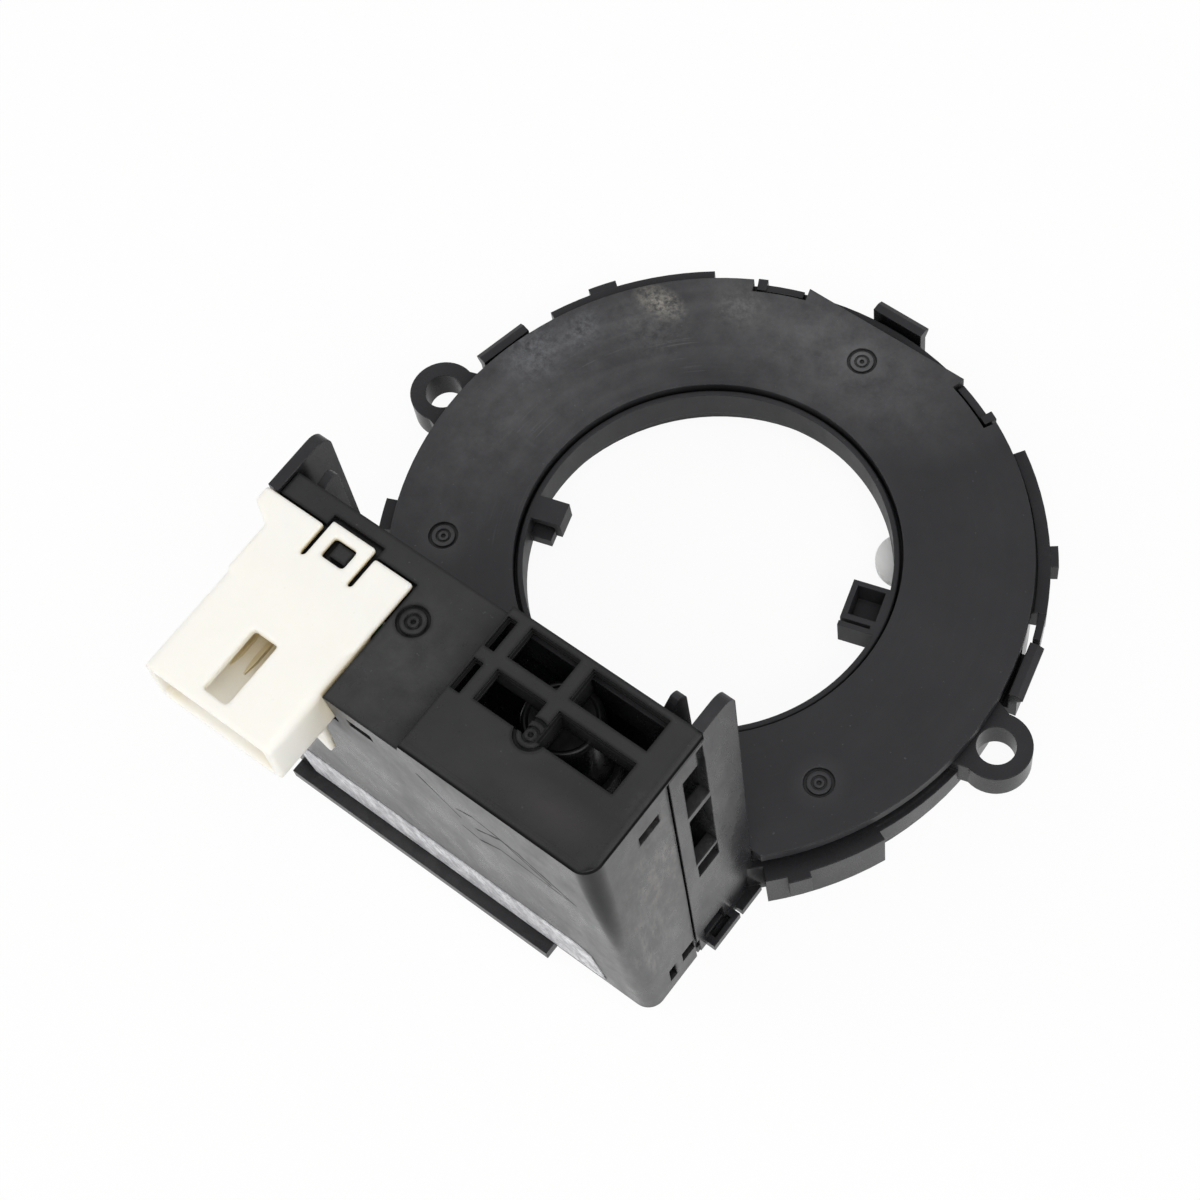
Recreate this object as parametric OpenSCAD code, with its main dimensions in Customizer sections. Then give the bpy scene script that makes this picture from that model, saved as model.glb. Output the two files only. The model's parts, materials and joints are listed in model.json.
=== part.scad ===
// Steering angle sensor: a flat ring round the steering column, with a tall circuit box beside it.
// Origin on the ring's axis at the mounting face. X runs along the box, away from its plug end.
// Y points from the box to the ring, and Z points away from the mounting face.

/* [Ring] */
// Outer radius of the ring cover
cover_r = 45; // [44:0.5:47]
// Thickness of the ring cover's plate
cover_t = 1.8; // [1.4:0.1:2.2]
// Height of the ring cover's face above the mounting face
ring_h = 12; // [11.6:0.1:13]
// Height of the thicker lower band round the tray
band_h = 8; // [7:0.25:9]
// Width of the ring from its outer edge to the bore
ring_w = 19.2; // [18.8:0.1:19.8]
// Thickness of the tray's floor
floor_t = 1.8; // [1.4:0.1:2.2]
// Wall thickness of the mouldings
wall = 1.6; // [1.2:0.1:2]
// Distance of the three gate marks from the cover's outer edge
mark_in = 7.7; // [6.8:0.1:9]
// Radius of a gate mark's groove
mark_groove_r = 1.9; // [1.6:0.1:2.2]

/* [Mounting ears] */
// Distance from the cover's edge to an ear hole's axis
ear_out = 3; // [2.9:0.1:5]
// Outer radius of an ear
ear_r = 4.9; // [4.6:0.1:5.5]
// Radius of an ear's screw hole
ear_hole_r = 2.7; // [2.2:0.1:2.8]
// Thickness of an ear
ear_t = 5; // [4:0.5:7]
// How far an ear's face lies below the ring cover's face
ear_drop = 2; // [1.9:0.1:3]

/* [Clips round the ring] */
// Angle between neighbouring snap arms
arm_pitch = 76.5; // [74:0.5:78]
// Width of a snap arm
arm_w = 8.2; // [7.4:0.1:10]
// Thickness of a snap arm
arm_t = 1.2; // [1:0.1:1.6]
// Gap between a snap arm and the tray
arm_gap = 0.7; // [0.5:0.1:0.9]
// How far the curved rim strips stand out from the cover's edge
strip_out = 2.1; // [1.6:0.1:2.6]
// Width of the opening of a notch in the cover, as an angle
notch_angle = 10.6; // [8:0.2:12]
// Depth of a notch in the cover
notch_depth = 2; // [1.5:0.1:2.1]

/* [Rotor and gears] */
// Width of the rotor's rim seen from above
rim_w = 0.9; // [0.8:0.1:1.1]
// Gap between the rotor's rim and the ring cover
rim_gap = 0.4; // [0.3:0.1:0.6]
// How far the rotor's rim lies below the cover's face
rim_drop = 0.9; // [0.5:0.1:1.2]
// Teeth on the rotor
rotor_teeth = 72;
// Teeth on the first measuring gear
teeth_a = 14;
// Teeth on the second measuring gear
teeth_b = 13;
// Extra distance between gear centres, for backlash
mesh_gap = 0.1; // [0.05:0.01:0.2]
// Radial clearance of the rotor in the tray and of the gears on their pins
run_fit = 0.06; // [0.03:0.01:0.09]
// Clearance above and below each turning piece
end_gap = 0.3; // [0.2:0.05:0.4]
// Radius of a gear pin
pin_r = 1; // [0.8:0.05:1.1]
// Radius of a gear's magnet
magnet_r = 2.5; // [2:0.1:2.8]
// Thickness of a gear's magnet
magnet_t = 1.8; // [1.4:0.1:1.9]
// Reach of the drive tabs into the bore
tab_reach = 5.2; // [4:0.1:6]

/* [Box] */
// How far the box cuts into the ring's outer circle
box_in = 7.5; // [6.2:0.1:7.5]
// Depth of the box at its top
box_d = 21.1; // [20.6:0.1:23]
// Length of the box
box_l = 63; // [61:0.5:66]
// Distance of the box's middle from the ring's axis, along X
box_shift = 0.5; // [-1:0.1:1]
// Height of the box above the mounting face
box_h = 66; // [63:0.5:72]
// How far the front face leans in from top to bottom
rake = 4.2; // [3:0.1:4.6]
// How far the end face leans in from top to bottom
end_lean = 1.3; // [0.8:0.1:1.6]
// How far the plug end's plateau lies below the raised grid
plateau_drop = 3.5; // [2.5:0.1:4.5]
// Distance from the box's back face to the seam on its end face
seam_d = 6.5; // [5.9:0.1:6.8]
// Thickness of the box's top plate
top_t = 2; // [1.6:0.1:2.4]
// Reach of the end fins past the back face
fin_reach = 5.9; // [5.4:0.1:6.2]
// Radius of the rounded front corner
corner_r = 2.4; // [1.8:0.1:4]
// Width of the foot lip in front of the cover
lip_w = 2.1; // [1.6:0.1:2.6]
// Thickness of the box's floor
box_floor_t = 2; // [1.6:0.1:2.4]

/* [Grid windows] */
// Width of the bars between the windows
bar_w = 1.8; // [1.4:0.1:2.2]
// Depth of a window from front to back
win_d = 4.5; // [4:0.1:4.8]
// Length of the two windows nearer the plug
win_a = 7.2; // [6:0.1:7.4]
// Length of the two windows nearer the end face
win_b = 11; // [9:0.1:11.2]
// Width of the two slots beside the step
slot_w = 1.4; // [1:0.1:1.6]

/* [Plug shell] */
// Width of the plug shell
plug_w = 19.8; // [19.6:0.1:21]
// Height of the plug shell
plug_h = 9; // [8.4:0.1:10]
// Reach of the plug shell past the box's front face
plug_out = 8.9; // [7:0.1:10]
// Distance from the box's plug end to the plug shell's middle
plug_off = 13.1; // [13:0.1:13.6]
// Wall thickness of the plug shell
plug_wall = 1.3; // [1.1:0.1:1.5]
// Distance between neighbouring terminals
pitch = 2.2; // [2:0.05:2.25]
// Width of a square terminal
terminal_w = 0.64; // [0.5:0.02:0.7]

/* [Circuit boards] */
// Thickness of both circuit boards
board_t = 1.6; // [1.2:0.1:1.6]
// Distance from the box's back face to the main board
board_back = 9.1; // [8.8:0.1:9.3]
// Radius of the tall capacitor
can_r = 5; // [4:0.1:5.2]

/* [Label] */
// Height of the label on the front face
label_h = 13.5; // [10:0.5:15]
// Thickness of the label
label_t = 0.15; // [0.1:0.01:0.2]

/* [Hidden] */
$fn = 72;
eps = 0.01;
fit = 0.15;
slip = 0.02;
edge_gap = 0.35;
plug_gap = 0.35;
seam_gap = 0.45;

// Heights in the ring, from the floor upwards
board_gap = 0.6;
ring_board_t = 1.2;
chip_t = 0.9;
chip_gap = 0.4;
hub_drop = 1.1;
roof_gap = 0.6;
under_z = ring_h - cover_t;
ring_board_z0 = floor_t + board_gap;
ring_board_z1 = ring_board_z0 + ring_board_t;
hub_z = ring_board_z1 + chip_t + chip_gap;
ledge_z = hub_z + hub_drop;
ledge_t = 1.5;
gear_t = under_z - ledge_z - 2 * end_gap - roof_gap;
gear_z0 = ledge_z + end_gap;
gear_z1 = gear_z0 + gear_t;
rim_z = ring_h - rim_drop;

// Radii in the ring, from the bore outwards
bore_r = cover_r - ring_w;
pitch_out = 3;
rotor_pitch_r = bore_r + pitch_out;
tooth_m = 2 * rotor_pitch_r / rotor_teeth;
mark_r = cover_r - mark_in;
rim_r = bore_r + rim_w;
cover_hole_r = rim_r + rim_gap;
journal_r = bore_r + 1.14;
seat_r = journal_r + run_fit;
step_r = seat_r + 1.6;
tooth_add = 0.9 * tooth_m;
tooth_ded = 1.15 * tooth_m;
set_back = 1.2;
tray_seat_r = cover_r - set_back;
tray_in_r = tray_seat_r - wall;

// Places of the two measuring gears round the ring
gear_a_angle = -50;
gear_b_angle = -130;
gear_a_c = tooth_m * (rotor_teeth + teeth_a) / 2 + mesh_gap;
gear_b_c = tooth_m * (rotor_teeth + teeth_b) / 2 + mesh_gap;
gear_a_x = gear_a_c * cos(gear_a_angle);
gear_a_y = gear_a_c * sin(gear_a_angle);
gear_b_x = gear_b_c * cos(gear_b_angle);
gear_b_y = gear_b_c * sin(gear_b_angle);
support_r = gear_b_c + 5.2;
board_post_r = support_r - 2.7;

// Ears
ear_x = cover_r + ear_out;
ear_z1 = ring_h - ear_drop;
ear_z0 = ear_z1 - ear_t;

// Box planes
box_back = cover_r - box_in;
x0 = box_shift - box_l / 2;
x1 = box_shift + box_l / 2;
back_y = -box_back;
front_y = back_y - box_d;
seam_y = back_y - seam_d;
plateau_z = box_h - plateau_drop;
step_x = x1 - 28.3;
step_run = 1.1;
grid_x = step_x + 4.5;
bar_x = grid_x + win_a;
foot_z = 1.6;
end_foot_x = x1 - end_lean - 0.2;
fin_y = back_y + fin_reach;
foot_x = x0 + 45.6;
wall_y1 = back_y + 1.3;
ring_cut_y = wall_y1 + 0.3;
rake_a = atan(rake / box_h);
lean_a = atan(end_lean / box_h);

// Main board planes
board_y1 = back_y - board_back;
board_y0 = board_y1 - board_t;
board_top = plateau_z - 2.4;
board_low_top = box_h - 22.5;
post_xs = [x0 + 9, x1 - 9];
post_z = 12;
high_post_z = box_h - 30;
post_r = 2.2;
stake_r = 1.2;

// Plug shell planes
plug_x = x0 + plug_off;
plug_x0 = plug_x - plug_w / 2;
plug_x1 = plug_x + plug_w / 2;
plug_z0 = plateau_z + 0.5 - plug_h;
plug_z1 = plateau_z + 0.5;
plug_front = front_y - plug_out;
plug_back = back_y - 3.7;
plug_solid0 = board_y0 - 5.5;
plug_solid1 = board_y0 - 1;
terminal_z = (plug_z0 + plug_z1) / 2;
terminals_n = 8;
plate_t = 1;
tongue_w = 7.4;
slit_w = 0.7;
slit_l = 4.6;

// Capacitor on its shelf
can_x = x1 - 15.8;
can_y = -box_back - 6.4;
can_shelf_z = box_h - 20;
can_top = box_h - 5;

// Part of a ring between two radii, two angles and two heights
module sector(r0, r1, a0, a1, z0, z1) {
  rotate([0, 0, a0])
    rotate_extrude(angle = a1 - a0, $fn = 144)
      translate([r0, z0])
        square([r1 - r0, z1 - z0]);
}

// Block given by its lowest and highest corners
module block(p0, p1) {
  translate(p0)
    cube([p1[0] - p0[0], p1[1] - p0[1], p1[2] - p0[2]]);
}

// Round bar along Y between two places
module bar_y(x, z, y0, y1, r) {
  translate([x, y1, z])
    rotate([90, 0, 0])
      cylinder(r = r, h = y1 - y0);
}

// Solid whose outline lies in the YZ plane and which runs along X
module along_x(xa, xb, points) {
  translate([xa, 0, 0])
    rotate([90, 0, 90])
      linear_extrude(xb - xa)
        polygon(points);
}

// Solid whose outline lies in the XZ plane and which runs along Y
module along_y(ya, yb, points) {
  translate([0, yb, 0])
    rotate([90, 0, 0])
      linear_extrude(yb - ya)
        polygon(points);
}

// Arc points for a rounded corner of an outline
function arc(cx, cy, r, a0, a1, n) =
  [for (i = [0 : n]) [cx + r * cos(a0 + (a1 - a0) * i / n), cy + r * sin(a0 + (a1 - a0) * i / n)]];

// Outline of a spur gear with straight flanks and one tooth on the X axis
function tooth_outline(teeth, pitch_r, turn) =
  [for (i = [0 : teeth - 1])
    for (p = [[-0.28, -tooth_ded], [-0.12, tooth_add], [0.12, tooth_add], [0.28, -tooth_ded]])
      let (a = (i + p[0]) * 360 / teeth + turn, r = pitch_r + p[1])
        [r * cos(a), r * sin(a)]];

// Two recessed rings with a dimple, left by a moulding gate
module gate_mark(z) {
  difference() {
    translate([0, 0, z - 0.55])
      cylinder(r = mark_groove_r + 0.25, h = 1.1);
    translate([0, 0, z - 0.6])
      cylinder(r = mark_groove_r - 0.25, h = 0.52);
  }
  difference() {
    translate([0, 0, z - 0.4])
      cylinder(r = mark_groove_r * 0.58, h = 1);
    translate([0, 0, z - 0.5])
      cylinder(r = mark_groove_r * 0.38, h = 0.38);
  }
  translate([0, 0, z - 0.5])
    cylinder(r = 0.35, h = 1);
}

// Turns a child to one of the snap arm places
module at_arm(i) {
  rotate([0, 0, 90 + (i - 1) * arm_pitch])
    children();
}

// Tray of the ring: raised inner ledge, floor, and outer wall with its band
module tray() {
  rotate_extrude($fn = 144)
    polygon([
      [seat_r, ledge_z - ledge_t], [step_r, ledge_z - ledge_t], [step_r, 0], [cover_r, 0],
      [cover_r, band_h], [tray_seat_r, band_h], [tray_seat_r, under_z], [tray_in_r, under_z],
      [tray_in_r, floor_t], [step_r + wall, floor_t], [step_r + wall, ledge_z], [seat_r, ledge_z]
    ]);
}

// Rim strips, skirts and blocks round the tray
module rim_strips() {
  strip_z1 = ring_h - 1.5;
  strip_z0 = strip_z1 - 4;
  skirt_r = cover_r + strip_out;
  sector(tray_seat_r - 0.3, cover_r, 18, 162, band_h - 1, under_z - 0.05);
  // free finger that ends the right strip
  sector(cover_r + 1, skirt_r - 0.05, 19.8, 25, strip_z0 + 0.1, strip_z1 - 0.05);
  for (a = [[24.6, 56], [125.4, 156], [203, 209]]) {
    sector(cover_r - 0.8, skirt_r, a[0], a[1], strip_z0, under_z - 0.1);
    sector(cover_r + edge_gap, skirt_r, a[0], a[1], under_z - 1, strip_z1);
  }
  for (a = [[33.4, 37.3], [143.1, 148.1]])
    sector(cover_r + edge_gap + 0.1, skirt_r + 1.1, a[0], a[1], strip_z0 + 0.2, strip_z1 - 0.1);
  sector(cover_r - 1, skirt_r, -44, -23.5, 0, band_h);
  sector(cover_r, skirt_r + 0.9, -40.4, -36.7, 3, band_h);
  sector(cover_r - 1.3, cover_r + 0.8, -24.5, -6.5, 3.4, band_h - 0.04);
}

// Low wall and hook that fill a notch of the ring cover, for the side named by s
module notch_wall(s) {
  mirror([s > 0 ? 0 : 1, 0, 0]) {
    sector(cover_r - 1.55, cover_r - 0.45, 63.6, 71.9, under_z - 1, ring_h - 0.5);
    sector(cover_r - 1.48, cover_r + 0.35, 62.9, 64.7, under_z - 0.9, ring_h - 0.3);
  }
}

// Springy arm that snaps the sensor into the column switch
module snap_arm() {
  foot_z0 = band_h - 3.2;
  translate([cover_r + arm_gap, -arm_w / 2, foot_z0])
    cube([arm_t, arm_w, ring_h - 0.8 - foot_z0]);
  translate([cover_r - 1, -arm_w / 2, foot_z0])
    cube([arm_gap + arm_t + 1, arm_w, 1.8]);
  translate([cover_r + arm_gap, -arm_w / 2, ring_h - 2.6])
    rotate([90, 0, 180])
      translate([-arm_t, 0, 0])
        linear_extrude(arm_w)
          polygon([[0, 0], [-0.8, 0.9], [-0.8, 1.3], [0, 1.8]]);
}

// Ear with its web, on the side named by s
module ear(s) {
  mirror([s > 0 ? 0 : 1, 0, 0])
    translate([0, 0, ear_z0]) {
      translate([ear_x, 0, 0])
        cylinder(r = ear_r, h = ear_t);
      linear_extrude(ear_t)
        polygon([
          [tray_in_r + 0.7, -ear_r - 1], [ear_x - 1, 0.2 - ear_r], [ear_x - 1, ear_r - 0.2],
          [tray_in_r + 0.7, ear_r + 1.2]
        ]);
    }
}

// Rear wall of the box, leaning out to meet the back edge of the top plate
module rear_wall() {
  bend = box_h - 11;
  along_x(x0 + 0.2, end_foot_x, [
    [wall_y1, 0], [wall_y1, bend], [back_y, bend + 2.5], [back_y, plateau_z - top_t],
    [back_y - 1.4, plateau_z - top_t], [back_y - 1.4, bend + 2.2], [wall_y1 - 1.4, bend - 0.3],
    [wall_y1 - 1.4, 0]
  ]);
  along_x(step_x + 2, end_foot_x, [
    [back_y, plateau_z - top_t - 1], [back_y, box_h - top_t],
    [back_y - 1.4, box_h - top_t], [back_y - 1.4, plateau_z - top_t - 1]
  ]);
}

// Outline of an end wall with its fin, in the YZ plane
function fin_outline(top, front) = concat(
  [[front, -3], [fin_y, -3]],
  arc(fin_y - 2.4, top - 2.4, 2.4, 0, 90, 8),
  [[back_y, top], [back_y, top - top_t - 0.05], [front, top - top_t - 0.05]]
);

// End wall on the grid side, leaning in towards its foot, with windows and an open pocket
module leaning_end() {
  difference() {
    translate([x1, 0, box_h])
      rotate([0, lean_a, 0])
        translate([-x1, 0, -box_h])
          difference() {
            along_x(x1 - wall, x1, fin_outline(box_h, seam_y));
            block([x1 - wall - 1, back_y - 4.4, box_h - 18.2], [x1 + 1, back_y - 0.2, box_h - 6.6]);
            block([x1 - wall - 1, back_y - 1.6, box_h - 7], [x1 + 1, back_y - 0.3, box_h - 2.9]);
            block([x1 - wall - 1, back_y - 4.3, box_h - 35.2], [x1 + 1, back_y - 0.1, box_h - 19.6]);
            block([x1 - wall - 1, back_y - 4.1, box_h - 40.1], [x1 + 1, back_y, box_h - 36.1]);
            block([x1 - wall - 1, back_y - 4.9, 0.7], [x1 + 1, back_y - 0.8, 6.4]);
            block([x1 - 0.5, seam_y - 1, -4], [x1 + 1, seam_y + 0.5, 5]);
          }
    block([x1 - 20, -70, -10], [x1 + 10, 0, 0]);
  }
}

// Lip along the foot of the grid side's end wall, with a pocket and a notch
module end_lip() {
  lip_x0 = x1 - end_lean - 0.5;
  difference() {
    block([lip_x0, seam_y + 1.6, 0], [x1 + 0.2, fin_y - 0.3, foot_z]);
    block([lip_x0 - 1, seam_y + 2.7, 0.5], [x1 - 0.5, back_y - 0.3, foot_z + 1]);
    block([lip_x0 + 0.8, back_y + 0.8, -1], [x1 + 1, back_y + 1.3, foot_z + 1]);
  }
}

// Grid side: end wall, lip, and the inner rib beside the wall
module right_end() {
  leaning_end();
  end_lip();
  along_x(x1 - 6.4, x1 - 5.2, concat(
    [[wall_y1 - 0.5, ring_h], [fin_y - 2.4, ring_h]],
    arc(fin_y - 4, box_h - 3.6, 1.6, 0, 80, 6),
    [[back_y, box_h - 3.4], [back_y, box_h - 9], [wall_y1 - 0.5, box_h - 12]]
  ));
}

// End wall on the plug side, with its inner rib
module left_end() {
  along_x(x0, x0 + wall, concat(
    [[plug_back, 0], [fin_y, 0]],
    arc(fin_y - 2.2, plateau_z - 1.7, 2.2, 0, 90, 8),
    [[plug_back + 0.2, plateau_z + 0.5], [plug_back + 0.2, plateau_z - 9], [plug_back, plateau_z - 9]]
  ));
  along_x(x0 + 4.2, x0 + 5.4, concat(
    [[wall_y1 - 0.5, ring_h], [fin_y - 3, ring_h]],
    arc(fin_y - 4, plateau_z - 1.5, 1, 0, 80, 5),
    [[back_y, plateau_z - 1], [back_y, box_h - 9], [wall_y1 - 0.5, box_h - 12]]
  ));
}

// Solid corner between the ring's outer wall, the back wall and an end wall
module corner_fill(s) {
  difference() {
    mirror([s > 0 ? 0 : 1, 0, 0])
      block([x1 - 6.4, wall_y1 - 1, 0], [s > 0 ? end_foot_x : -x0 - 0.2, fin_y - 0.6, under_z]);
    translate([0, 0, -1])
      cylinder(r = cover_r - wall, h = 30, $fn = 144);
  }
}

// Floor of the box with the lip that shows below the label
module box_floor() {
  lip_y = front_y + rake - lip_w;
  block([x0 + 0.2, lip_y, 0], [foot_x, wall_y1 - 0.3, box_floor_t]);
  in_x = x1 - end_lean - wall - fit;
  in_y = front_y + rake + wall + fit;
  cut = max(corner_r - wall, 0) + 0.4;
  linear_extrude(box_floor_t)
    polygon([
      [foot_x - 1, in_y], [in_x - cut, in_y], [in_x, in_y + cut], [in_x, seam_y + slip],
      [end_foot_x, seam_y + slip], [end_foot_x, wall_y1 - 0.3], [foot_x - 1, wall_y1 - 0.3]
    ]);
}

// Post with a stake that holds the main board
module board_post(x, z) {
  bar_y(x, z, board_y1, wall_y1 - 1, post_r);
  bar_y(x, z, board_y0 - 1.2, board_y1 + 0.5, stake_r - slip);
}

// Shelf and cup that carry the tall capacitor
module can_shelf() {
  difference() {
    union() {
      block([can_x - can_r - 1, can_y - can_r - 0.8, can_shelf_z - 1.6],
            [can_x + can_r + 1, wall_y1 - 1, can_shelf_z]);
      translate([can_x, can_y, can_shelf_z - eps])
        cylinder(r = can_r + 0.8, h = 3);
    }
    translate([can_x, can_y, can_shelf_z])
      cylinder(r = can_r + slip, h = 5);
    for (dx = [-2.5, 2.5])
      translate([can_x + dx, can_y, can_shelf_z - 3])
        cylinder(r = 0.5, h = 4, $fn = 24);
  }
}

module base_housing() {
  color([0.16, 0.16, 0.17])
  difference() {
    union() {
      difference() {
        union() {
          tray();
          rim_strips();
          for (a = [gear_a_angle, gear_b_angle])
            sector(support_r, tray_in_r + 0.5, a - 11, a + 11, floor_t - eps, ledge_z);
        }
        block([-60, -60, -1], [60, wall_y1 - 1, 20]);
      }
      for (s = [-1, 1]) {
        notch_wall(s);
        ear(s);
      }
      for (i = [0 : 2])
        at_arm(i) snap_arm();
      rear_wall();
      right_end();
      left_end();
      box_floor();
      can_shelf();
      for (x = post_xs)
        board_post(x, post_z);
      board_post(post_xs[1], high_post_z);
      for (s = [-1, 1])
        corner_fill(s);
      for (a = [-38, -62, -90, -118, -142])
        translate([board_post_r * cos(a), board_post_r * sin(a), floor_t - eps])
          cylinder(r = 1.6, h = ring_board_z0 - floor_t + eps, $fn = 24);
    }
    for (s = [-1, 1])
      translate([s * ear_x, 0, -1])
        cylinder(r = ear_hole_r, h = 20);
    translate([0, 0, -1])
      cylinder(r = seat_r, h = 20);
    block([-9, wall_y1 - 3, floor_t], [9, wall_y1 + 1, ledge_z + 1]);
  }
}

module ring_cover() {
  color([0.2, 0.2, 0.21])
  difference() {
    union() {
      translate([0, 0, under_z])
        cylinder(r = cover_r, h = cover_t, $fn = 144);
      translate([0, 0, under_z - 0.9])
        cylinder(r = tray_in_r - 0.2, h = 0.9 + eps, $fn = 144);
      translate([gear_a_x, gear_a_y, gear_z1 + end_gap])
        cylinder(r = 2.6, h = under_z - gear_z1 - end_gap + eps, $fn = 32);
      translate([gear_b_x, gear_b_y, gear_z1 + end_gap])
        cylinder(r = 2.6, h = under_z - gear_z1 - end_gap + eps, $fn = 32);
    }
    translate([0, 0, -1])
      cylinder(r = cover_hole_r, h = 20, $fn = 144);
    difference() {
      translate([0, 0, under_z - 2])
        cylinder(r = tray_in_r - 1.1, h = 2, $fn = 144);
      translate([0, 0, under_z - 0.6])
        cylinder(r = cover_hole_r + 0.9, h = 2, $fn = 144);
      for (g = [[gear_a_x, gear_a_y], [gear_b_x, gear_b_y]])
        translate([g[0], g[1], 0])
          cylinder(r = 2.6, h = 20, $fn = 32);
    }
    for (g = [[gear_a_x, gear_a_y], [gear_b_x, gear_b_y]])
      translate([g[0], g[1], gear_z1])
        cylinder(r = pin_r, h = ring_h - 0.8 - gear_z1);
    block([-13.3, cover_r - notch_depth, -1], [13.3, cover_r + 5, 20]);
    for (m = [0, 1])
      mirror([m, 0, 0])
        sector(cover_r - notch_depth, cover_r + 1, 72.7 - notch_angle, 72.7, 0, 20);
    block([-60, -60, -1], [60, ring_cut_y, 20]);
    block([x1 - end_lean - wall - 0.3, -60, -1], [60, fin_y + 0.3, 20]);
    block([-60, -60, -1], [x0 + wall + 0.3, fin_y + 0.3, 20]);
    block([x1 - 6.7, -60, -1], [x1 - 4.9, fin_y - 2.1, 20]);
    block([x0 + 3.9, -60, -1], [x0 + 5.7, fin_y - 2.7, 20]);
    for (i = [0 : 2])
      rotate([0, 0, 90.3 + 120 * i])
        translate([mark_r, 0, 0])
          gate_mark(ring_h);
  }
}

// Front face and end face at a height, moved inwards by t
function front_at(z, t) = front_y + rake * (box_h - z) / box_h + t / cos(rake_a);
function end_at(z, t) = x1 - end_lean * (box_h - z) / box_h - t / cos(lean_a);

// Outer form of the box cover, shrunk by t at the sides and by tt at the top for its inside
module cover_form(t, tt, back) {
  r1 = 1.2;
  r2 = 0.8;
  intersection() {
    along_x(x0 - 5, x1 + 5, concat(
      [[back, -5], [front_at(-5, t), -5]],
      arc(front_at(box_h - tt - r1, t) + r1 / cos(rake_a), box_h - tt - r1, r1, 180 + rake_a, 90, 6),
      [[back, box_h - tt]]
    ));
    along_y(front_y - 10, back + 5, concat(
      [[x0 + t, -6], [end_at(-6, t), -6]],
      arc(end_at(box_h - tt - r2, t) - r2 / cos(lean_a), box_h - tt - r2, r2, -lean_a, 90, 6),
      [[step_x + step_run, box_h - tt], [step_x, plateau_z - tt], [x0 + t, plateau_z - tt]]
    ));
  }
}

// Cutter that rounds the box's front corner along its leaning edge
module corner_cutter(r, t) {
  translate([x1 - t, front_y + t, box_h])
    rotate([rake_a, lean_a, 0])
      difference() {
        translate([-r, -2, -box_h - 10])
          cube([r + 2, r + 2, box_h + 20]);
        translate([-r, r, -box_h - 11])
          cylinder(r = r, h = box_h + 22, $fn = 48);
      }
}

// The four windows, the two slots beside the step, and their rims
module grid_windows() {
  row0 = back_y - 0.9;
  row1 = row0 - win_d - bar_w;
  col0 = grid_x;
  col1 = col0 + win_a + bar_w;
  for (y = [row0, row1]) {
    block([col0, y - win_d, box_h - 12], [col0 + win_a, y, box_h + 1]);
    block([col1, y - win_d, box_h - 12], [col1 + win_b, y, box_h + 1]);
  }
  for (y = [row0 - 0.4, row1 - 0.4])
    block([step_x + step_run + 0.3, y - win_d, plateau_z - 8],
          [step_x + step_run + 0.3 + slot_w, y, box_h + 1]);
}

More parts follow.
